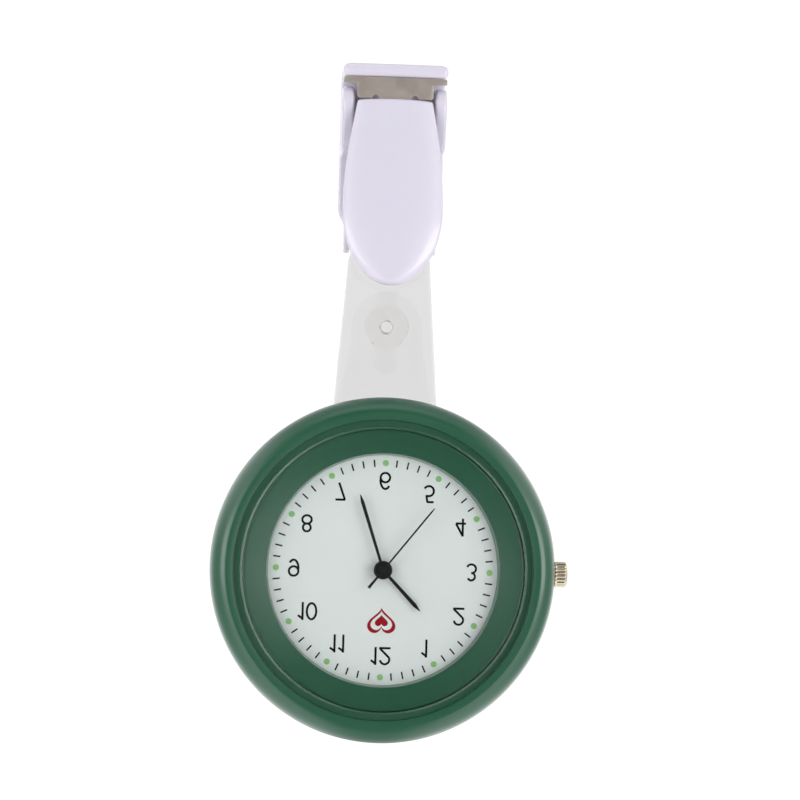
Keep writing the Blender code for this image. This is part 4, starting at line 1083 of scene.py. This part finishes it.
def clip_body(clip):
    """Back plate, two cheeks for the lever's pins and a frame with the strap's bar, in one moulding."""
    half, edge = clip.half_width / MM, clip.edge_round / MM
    foot, shoulder, top = 43.6, 45.1, CLIP_TOP_Z
    plate = [(-FRAME_OUTER_X, foot), (FRAME_OUTER_X, foot), (half, shoulder), (half, top), (-half, top)]
    plate = eased([*plate, (-half, shoulder)], [0.3, 0.3, 0.8, 1.2, 1.2, 0.8], 9)
    body = moulded("clip_back_body", plate, 1.9, 3.2, "Y", edge)
    cheek = [(2.75, 51.9), (2.75, 60.7), (-2.0, 60.7), (-3.3, 60.3), (-3.95, 59.3), (-4.0, 57.8)]
    cheek = eased([*cheek, (-2.3, 53.4), (-1.4, 52.6)], [0.6, 0.6, 0.9, 0.7, 0.7, 1.0, 0.8, 0.7], 8)
    rail = np.concatenate(
        [[(2.9, 47.0), (2.2, 47.0), (-0.15, 41.7)], arc((BAR_Y, BAR_Z), 1.3, 167, 360, 24)]
    )
    parts = []
    for side, sign in (("left", -1), ("right", 1)):
        low, high = sorted((sign * 5.05, sign * half))
        parts.append(moulded(f"cheek_{side}", cheek, low, high, "X", 0.45, 8))
        low, high = sorted((sign * FRAME_INNER_X, sign * FRAME_OUTER_X))
        parts.append(moulded(f"rail_{side}", rail, low, high, "X", 0.16))
    parts.append(rod("strap_bar", BAR_R, -5.5, 5.5, "X", (0, BAR_Y, BAR_Z)))
    combined(body, "UNION", *parts)
    sockets = [
        rod(f"socket_{low}", 1.05, low, low + 1.5, "X", (0, PIVOT_Y, PIVOT_Z)) for low in (-6, 4.5)
    ]
    combined(body, "DIFFERENCE", *sockets)
    return finished(body, finish("clip_plastic"), "clip", "clip_plastic", "clip_rear_body")


def tongue(clip):
    """The thumb tongue: a squared oval carried down a leaning line.

    Its half width flares as r + (w - r) sin from its root r to its widest level w and then closes
    as w sqrt(1 - s^2). Its front leans forward as 1.7 sin, its middle stands proud of its sides by
    the crown, and its thickness closes over the last 0.7 mm at the bottom and 0.35 mm at the top.
    """
    top, flare_top, widest, bottom = 58.85, 58.8, 45.0, 35.52
    root, wide = 4.7, clip.tongue_half_width / MM
    opening = top - 0.3 * (1 - np.cos(np.linspace(0, pi / 2, 7)))
    closing = bottom + (widest - bottom) * (1 - np.sin(np.linspace(0, pi / 2, 34)))
    z = np.concatenate([opening, np.linspace(58.4, widest + 0.4, 34), closing])[:, None]
    flare = root + (wide - root) * np.sin(np.clip((flare_top - z) / (flare_top - widest), 0, 1) * pi / 2)
    round_share = np.clip((widest - z) / (widest - bottom + 0.005), 0, 1)
    half = flare * np.sqrt(1 - round_share**2)
    top_close = np.sqrt(np.clip(1 - (1 - np.clip((top - z) / 0.35, 0, 1)) ** 2, 0.02, 1))
    end_close = np.sqrt(np.clip(1 - (1 - np.clip((z - bottom) / 0.7, 0, 1)) ** 2, 0.02, 1))
    across, through = squared_oval(1.0, 0.62, 64, 5.0)
    front = -5.45 - 1.7 * np.sin(np.clip((flare_top - z) / (flare_top - bottom), 0, 1) * pi / 2)
    closed = top_close * end_close
    crown_back = clip.tongue_crown / MM * across**2
    y = front + 0.65 + crown_back + through * closed
    x = (half - 0.3 * (1 - top_close)) * across
    arch = 0.16 * (1 - across**2) * np.clip((z - 57) / 1.8, 0, 1)
    return skinned("tongue", np.stack(np.broadcast_arrays(x, y, z + arch - 0.08), -1))


def thumb_lever(clip):
    """Jaw nose, deck, web with two pins and thumb tongue, moulded in one, with a slot for the spring."""
    half = clip.half_width / MM
    web = [(-5.0, 58.3), (-3.9, 58.3), (-3.9, 62.2), (-2.6, 62.2), (-2.6, 57.6), (-0.4, 56.6)]
    web = eased(
        [
            *web, (-0.4, 54.5), (-1.5, 54.1), (-5.3, 54.2)
        ], [0.05, 0.05, 0.1, 0.2, 0.5, 0.5, 0.4, 0.4, 0.3], 5
    )
    body = moulded("thumb_lever_body", web, -4.9, 4.9, "X", 0.12)
    inside, low, high = half - 0.06, 60.8, 62.4
    head = eased([(-inside, low), (inside, low), (inside, high), (-inside, high)], 0.25, 6)
    head = moulded("head", head, DECK_Y, -2.5, "Y", 0.1)
    low, high = 61.75, CLIP_TOP_Z
    nose = eased([(-half, low), (half, low), (half, high), (-half, high)], [0.74, 0.74, 1.3, 1.3], 12)
    nose = moulded("nose", nose, -5.2, 1.8, "Y", 0.55, 10)
    pins = rod("pins", 1.0, -5.9, 5.9, "X", (0, PIVOT_Y, PIVOT_Z))
    combined(body, "UNION", head, nose, tongue(clip), pins)
    slot = moulded("slot", [(-2.3, 53), (2.3, 53), (2.3, 59.2), (-2.3, 59.2)], -4.3, -3.85, "Y", 0.01, 2)
    combined(body, "DIFFERENCE", slot)
    return finished(body, finish("clip_plastic"), "clip_lever", "clip_plastic", "clip_thumb_lever")


def clip_spring(clip):
    """The leaf spring: a wide head on the lever's deck, relieved beside a stem that curves to the plate."""
    y, stem_half, bend_z = SPRING_Y, 2.0, 54.9
    head = [
        (y, 61.68, 6.2), (y, 61.6, 6.45), (y, 61.4, 6.5), (y, 61.0, 6.5), (y, 60.9, 6.4), (y, 60.84, 5.0)
    ]
    head += [
        (y, 60.7, 4.8),
        (y, 59.3, 4.8),
        (y, 59.1, 4.7),
        (y, 59.02, 4.5),
        (y, 59.0, 2.1),
        (y, 58.9, stem_half),
    ]
    stem = [(y, 58.8), (y, 57.0), (y, bend_z), (-3.98, 54.0), (-3.65, 53.1), (-2.7, 51.95), (-1.1, 50.95)]
    curve = smoothed([*stem, (0.4, 50.15), (1.35, 49.3), (1.66, 48.3), (1.5, 47.3)], 3)
    stem = np.concatenate([curve, np.full((len(curve), 1), stem_half)], 1)
    leaf = ribbon("leaf_spring", np.concatenate([head, stem]), clip.spring_thickness / MM, 8.0, 24)
    reliefs = [
        rod(f"relief_{x}", 0.38, y - 0.6, y + 0.6, "Y", (x, 0, 59.05), steps=24) for x in (-2.5, 2.5)
    ]
    combined(leaf, "DIFFERENCE", *reliefs)
    finished(leaf, finish("spring_steel"), None, "spring_steel", "clip_spring")
    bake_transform(leaf)
    return leaf


# ---------------------------------------------------------------- strap


def strap_half_width(z):
    """Half the front layer's width: narrow inside the clip's frame, then a steady taper wider."""
    frame_z, loop_z, frame_half = 39.0, 39.7, 5.15
    near_bar = np.where(z > loop_z, BAR_LOOP_HALF_WIDTH, frame_half - (z - frame_z) * 0.357)
    return np.where(z > frame_z, near_bar, frame_half + (frame_z - z) * tan(radians(4.2)))


def looped(centre, radius, start, half_width, steps=25):
    """Stations of a half turn round a centre, from an angle in degrees down to that less 180."""
    return np.concatenate(
        [arc(centre, radius, start, start - 180, steps), np.full((steps, 1), half_width)], 1
    )


def strap(settings):
    """One length: lower tail, loop round the pin, front layer, loop over the bar, upper tail with its tab."""
    turn, tail_radius = np.radians(np.linspace(6, 88, 16)), 4.4
    tip = [np.full(16, STRAP_TAIL_Y), STUD_Z + tail_radius * np.cos(turn), tail_radius * np.sin(turn)]
    lower = [(STRAP_TAIL_Y, 30.2, tail_radius), (1.28, 27.5, 4.7), (1.45, 25.0, 5.1)]
    lower += [(1.7, 22.2, 5.8), (1.88, 20.4, 6.4)]
    pin_loop = looped((PIN_Y, PIN_Z), PIN_LOOP_R, 0, PIN_LOOP_HALF_WIDTH)
    z = np.linspace(21.5, 40.0, 38)
    front = np.stack(
        [np.interp(z, [21.5, 33, 40], [STRAP_FRONT_Y, 0.27, 0.22]), z, strap_half_width(z)], -1
    )
    bar_loop = looped((BAR_Y, BAR_Z), BAR_LOOP_R, 180, BAR_LOOP_HALF_WIDTH)
    upper = [
        (1.98, 39.6, 4.88), (1.95, 38.2, 4.75), (1.93, 37.0, 4.35), (1.91, 36.2, 3.1), (1.89, 35.6, 1.6)
    ]
    upper += [
        (1.88, 34.9, 1.15), (1.86, 33.9, 1.15), (1.85, 33.3, 1.5), (1.84, 32.6, 2.05), (1.83, 31.9, 2.55)
    ]
    upper += [
        (1.82, 30.7, 2.9), (1.83, 29.5, 2.55), (1.86, 28.7, 1.95), (1.9, 28.1, 1.5), (2.05, 26.2, 1.5)
    ]
    upper += [(2.13, 25.3, 1.25), (2.17, 24.85, 0.6), (2.17, 24.8, 0.2)]
    parts = [np.stack(tip, -1), smoothed(lower), pin_loop, front, bar_loop, smoothed(upper)]
    path = np.concatenate(parts)
    band = ribbon("clear_strap", path, settings.thickness / MM, 7.0, 36)
    combined(band, "DIFFERENCE", rod("stud_hole", 0.82, 0.7, 3.0, "Y", (0, 0, STUD_Z)))
    return finished(band, finish("clear_pvc"), "strap", "clear_pvc", "strap")


def press_stud(settings):
    """The press-stud's two halves: a flange with a post in front, and a dished cap behind."""
    radius, centre = settings.stud_radius / MM, (0, 0, STUD_Z)
    flange = [(0, 0.6), (0.45, 0.6), (0.6, 0.56), (0.95, 0.56), (1.1, 0.7), (1.35, 0.7), (1.5, 0.56)]
    flange += [(2.2, 0.56), (2.3, 0.66), (radius, 0.66), (radius, 0.9)]
    post = [(0.75, 0.9), (0.75, 2.5), (0.62, 2.62), (0, 2.62)]
    reach = [0, 0.05, 0.06, 0.06, 0.06, 0.06, 0.06, 0.05, 0.05, 0.08, 0.08, 0.1, 0.08, 0.06, 0]
    stud = turned("press_stud", eased([*flange, *post], reach, 5), at=centre, steps=96)
    finished(stud, finish("stud_pvc"), "strap", "clear_pvc", "snap_stud")
    cap = [(0.8, 2.13), (radius, 2.13), (radius, 2.8), (2.1, 3.1), (1.1, 3.1), (0.95, 2.95), (0, 2.95)]
    cap = eased([*cap, (0, 2.68), (0.8, 2.68)], [0.05, 0.1, 0.15, 0.2, 0.08, 0.08, 0, 0, 0.05], 5)
    socket = turned("press_socket", cap, at=centre, steps=96)
    finished(socket, finish("stud_pvc"), "strap", "clear_pvc", "snap_socket")


# ---------------------------------------------------------------- carried-over parts and stage

CARRIED_OVER = {
    "steel": "crown_tube winding_stem setting_lever yoke bridge_screw_1 bridge_screw_2 bridge_screw_3 quartz_can battery_cell",
    "spring_steel": "battery_strap coil_core stator",
    "nickel": "train_bridge",
    "brass": "sliding_pinion intermediate_wheel seconds_wheel third_wheel centre_wheel minute_wheel hour_wheel",
    "copper_wire": "coil",
    "holder_plastic": "movement_holder",
    "movement_plastic": "main_plate",
    "board": "circuit_board",
    "chip": "ic_chip",
    "seal_rubber": "back_gasket crown_gasket",
    "magnet": "rotor",
}


def finish_movement():
    """Gives every CAD part that stays its finish."""
    for name, nodes in CARRIED_OVER.items():
        for node in nodes.split():
            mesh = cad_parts[node].data
            mesh.materials.clear()
            mesh.materials.append(finish(name))


def glow(tree, surface, shown, other):
    """Strength of a stage surface: shown where it is seen, even through clear parts, and other elsewhere."""
    path = add(tree, "LightPath").outputs
    bounces = maths(tree, "ADD", path["Diffuse Depth"], path["Glossy Depth"])
    direct = maths(tree, "MULTIPLY", path["Is Transmission Ray"], maths(tree, "LESS_THAN", bounces, 0.5))
    seen = maths(tree, "MAXIMUM", path["Is Camera Ray"], direct)
    lit = maths(tree, "MULTIPLY_ADD", seen, maths(tree, "SUBTRACT", shown, other), other)
    tree.links.new(lit, surface.inputs["Strength"])


def soft_light(name, place, size, power):
    """A wide lamp that faces the middle of the watch and is not itself seen."""
    lamp = bpy.data.lights.new(name, "AREA")
    lamp.shape, lamp.size, lamp.size_y, lamp.energy = "RECTANGLE", *size, power
    obj = bpy.data.objects.new(name, lamp)
    obj.location = place
    obj.rotation_euler = (Vector((0, 0, 0.02)) - Vector(place)).to_track_quat("-Z", "Y").to_euler()
    bpy.context.scene.collection.objects.link(obj)
    obj.visible_camera = obj.visible_transmission = False


def banded(tree, direction, stage):
    """Strength of the surroundings in a direction: bright to the sides, dark in an upright band ahead."""
    heading = add(tree, "SeparateXYZ", direction).outputs
    smooth = {"interpolation_type": "SMOOTHSTEP"}
    upward = maths(tree, "MAXIMUM", heading["Z"], 0.0)
    sideways = maths(tree, "MULTIPLY_ADD", upward, -0.55, maths(tree, "ABSOLUTE", heading["X"]))
    side = add(tree, "MapRange", sideways, 0.06, 0.36, 0.0, 1.0, settings=smooth).outputs[0]
    behind = add(tree, "MapRange", heading["Y"], -0.8, -0.35, 0.0, 1.0, settings=smooth).outputs[0]
    clear_of_band = maths(tree, "MAXIMUM", side, behind)
    shade = maths(tree, "MULTIPLY_ADD", clear_of_band, 1.0 - stage.front_shade, stage.front_shade)
    outer = add(tree, "MapRange", sideways, 0.6, 1.0, 1.0, 0.4, settings=smooth).outputs[0]
    level = maths(tree, "MULTIPLY", maths(tree, "MULTIPLY_ADD", side, stage.side_boost - 1.0, 1.0), outer)
    return maths(tree, "MULTIPLY", maths(tree, "MULTIPLY", level, shade), stage.fill)


def stage_floor(stage):
    """A wide white floor under the hanging watch."""
    reach = np.array([[-1, -1], [1, -1], [1, 1], [-1, 1]]) * 1500.0
    height = (CAD_BOUNDS[0].z - stage.floor_drop) / MM
    points = np.concatenate([reach, np.full((4, 1), height)], 1) * MM
    mesh = bpy.data.meshes.new("floor")
    mesh.from_pydata(points.tolist(), [], [(0, 1, 2, 3)])
    floor = linked("floor", mesh)
    material = bpy.data.materials.new("floor_white")
    material.use_nodes = True
    tree = material.node_tree
    tree.nodes.remove(tree.nodes["Principled BSDF"])
    surface = add(tree, "Emission", Color=(1, 1, 1, 1))
    outward = add(
        tree,
        "VectorMath",
        add(tree, "NewGeometry").outputs["Position"],
        settings={"operation": "NORMALIZE"},
    )
    glow(tree, surface, 1.05, banded(tree, outward.outputs[0], stage))
    tree.links.new(surface.outputs[0], tree.nodes["Material Output"].inputs["Surface"])
    mesh.materials.append(material)


def stage_camera(stage):
    """The camera, aimed at the middle of the picture and rolled."""
    cam = bpy.data.cameras.new("camera")
    cam.lens, cam.sensor_width = stage.lens, FILM_WIDTH
    cam.clip_start, cam.clip_end = 0.01, 20.0
    obj = bpy.data.objects.new("camera", cam)
    bpy.context.scene.collection.objects.link(obj)
    a, e = stage.azimuth, stage.elevation
    back = Vector((sin(a) * cos(e), -cos(a) * cos(e), sin(e)))
    distance = stage.frame_width * stage.lens / FILM_WIDTH
    aim = Vector((0.0017, -0.003, 0.0213))
    turn = (-back).to_track_quat("-Z", "Y").to_matrix().to_4x4() @ Matrix.Rotation(stage.roll, 4, "Z")
    obj.matrix_world = Matrix.Translation(aim + back * distance) @ turn
    bpy.context.scene.camera = obj


def stage_world(stage):
    """Even white behind the watch, with the banded surroundings in light and reflections."""
    world = bpy.data.worlds.new("surroundings")
    world.use_nodes = True
    bpy.context.scene.world = world
    tree = world.node_tree
    background = tree.nodes["Background"]
    background.inputs["Color"].default_value = (1, 1, 1, 1)
    glow(tree, background, 1.05, banded(tree, add(tree, "TexCoord").outputs["Generated"], stage))


def build_stage(stage):
    """Floor, camera, surroundings and four soft lamps."""
    bpy.context.scene.view_settings.view_transform = "Standard"
    stage_floor(stage)
    stage_camera(stage)
    stage_world(stage)
    soft_light("side_light_left", (-0.34, -0.38, -0.09), (0.3, 0.4), stage.side_power)
    soft_light("side_light_right", (0.34, -0.38, -0.09), (0.3, 0.4), 1.35 * stage.side_power)
    soft_light("top_light", (0.0, -0.25, 0.5), (0.4, 0.3), stage.top_power)
    soft_light("rear_light", (0.0, 0.5, 0.25), (0.6, 0.4), stage.top_power)


# ---------------------------------------------------------------- operators, panel and run


class FOB_OT_case(bpy.types.Operator):
    """Builds the turned case with its lugs."""

    bl_idname = "fob_watch.case"
    bl_label = "Case"

    def execute(self, context):
        case_body(context.scene.fob_case)
        return {"FINISHED"}


class FOB_OT_ring(bpy.types.Operator):
    """Builds the flat ring under the crystal."""

    bl_idname = "fob_watch.ring"
    bl_label = "Chapter Ring"

    def execute(self, context):
        inner_ring(context.scene.fob_case)
        return {"FINISHED"}


class FOB_OT_crystal(bpy.types.Operator):
    """Builds the bevelled crystal."""

    bl_idname = "fob_watch.crystal"
    bl_label = "Crystal"

    def execute(self, context):
        crystal(context.scene.fob_case)
        return {"FINISHED"}


class FOB_OT_dial(bpy.types.Operator):
    """Builds the dial plate."""

    bl_idname = "fob_watch.dial"
    bl_label = "Dial"

    def execute(self, context):
        dial_plate()
        return {"FINISHED"}


class FOB_OT_printing(bpy.types.Operator):
    """Builds the minute marks, hour dots, numerals and heart on the dial."""

    bl_idname = "fob_watch.printing"
    bl_label = "Dial Printing"

    def execute(self, context):
        dial_marks(context.scene.fob_dial)
        dial_numerals(context.scene.fob_dial)
        dial_heart(context.scene.fob_dial)
        return {"FINISHED"}


class FOB_OT_hands(bpy.types.Operator):
    """Builds the hour, minute and seconds hands."""

    bl_idname = "fob_watch.hands"
    bl_label = "Hands"

    def execute(self, context):
        hands(context.scene.fob_hands)
        return {"FINISHED"}


class FOB_OT_back(bpy.types.Operator):
    """Builds the turned steel back."""

    bl_idname = "fob_watch.back"
    bl_label = "Back Cover"

    def execute(self, context):
        back_cover()
        return {"FINISHED"}


class FOB_OT_pin(bpy.types.Operator):
    """Builds the spring bar that the strap turns on."""

    bl_idname = "fob_watch.pin"
    bl_label = "Strap Pin"

    def execute(self, context):
        strap_pin()
        return {"FINISHED"}


class FOB_OT_crown(bpy.types.Operator):
    """Builds the fluted crown."""

    bl_idname = "fob_watch.crown"
    bl_label = "Crown"

    def execute(self, context):
        crown(context.scene.fob_case)
        return {"FINISHED"}


class FOB_OT_clip_body(bpy.types.Operator):
    """Builds the clip's back plate, cheeks, rails and bar."""

    bl_idname = "fob_watch.clip_body"
    bl_label = "Clip Body"

    def execute(self, context):
        clip_body(context.scene.fob_clip)
        return {"FINISHED"}


class FOB_OT_lever(bpy.types.Operator):
    """Builds the clip's jaw and thumb tongue."""

    bl_idname = "fob_watch.lever"
    bl_label = "Thumb Lever"

    def execute(self, context):
        thumb_lever(context.scene.fob_clip)
        return {"FINISHED"}


class FOB_OT_spring(bpy.types.Operator):
    """Builds the clip's leaf spring, which bends between plate and lever."""

    bl_idname = "fob_watch.spring"
    bl_label = "Leaf Spring"

    def execute(self, context):
        clip_spring(context.scene.fob_clip)
        return {"FINISHED"}


class FOB_OT_strap(bpy.types.Operator):
    """Builds the clear strap."""

    bl_idname = "fob_watch.strap"
    bl_label = "Strap"

    def execute(self, context):
        strap(context.scene.fob_strap)
        return {"FINISHED"}


class FOB_OT_stud(bpy.types.Operator):
    """Builds both halves of the strap's press-stud."""

    bl_idname = "fob_watch.stud"
    bl_label = "Press-Stud"

    def execute(self, context):
        press_stud(context.scene.fob_strap)
        return {"FINISHED"}


class FOB_OT_movement(bpy.types.Operator):
    """Gives the movement and the other carried-over parts their finishes."""

    bl_idname = "fob_watch.movement"
    bl_label = "Movement Finishes"

    def execute(self, context):
        finish_movement()
        return {"FINISHED"}


class FOB_OT_stage(bpy.types.Operator):
    """Builds the floor, lights, surroundings and camera."""

    bl_idname = "fob_watch.stage"
    bl_label = "Stage"

    def execute(self, context):
        build_stage(context.scene.fob_stage)
        return {"FINISHED"}


OPERATORS = (
    FOB_OT_case,
    FOB_OT_ring,
    FOB_OT_crystal,
    FOB_OT_dial,
    FOB_OT_printing,
    FOB_OT_hands,
    FOB_OT_back,
    FOB_OT_pin,
    FOB_OT_crown,
    FOB_OT_clip_body,
    FOB_OT_lever,
    FOB_OT_spring,
    FOB_OT_strap,
    FOB_OT_stud,
    FOB_OT_movement,
    FOB_OT_stage,
)


class FOB_PT_watch(bpy.types.Panel):
    """Settings and build steps of the fob watch, in the 3D view's sidebar."""

    bl_idname = "FOB_PT_watch"
    bl_label = "Fob Watch"
    bl_space_type = "VIEW_3D"
    bl_region_type = "UI"
    bl_category = "Fob Watch"

    def draw(self, context):
        for name, group in SETTINGS.items():
            box = self.layout.box()
            box.label(text=name.replace("_", " ").title())
            for setting in group.__annotations__:
                box.prop(getattr(context.scene, name), setting)
        for operator in OPERATORS:
            self.layout.operator(operator.bl_idname)


def register():
    for cls in (*SETTINGS.values(), *OPERATORS, FOB_PT_watch):
        bpy.utils.register_class(cls)
    for name, group in SETTINGS.items():
        setattr(bpy.types.Scene, name, bpy.props.PointerProperty(type=group))


def unregister():
    for name in SETTINGS:
        delattr(bpy.types.Scene, name)
    for cls in reversed((*SETTINGS.values(), *OPERATORS, FOB_PT_watch)):
        bpy.utils.unregister_class(cls)


def main():
    register()
    for operator in OPERATORS:
        group, step = operator.bl_idname.split(".")
        getattr(getattr(bpy.ops, group), step)()


if __name__ == "__main__":
    main()
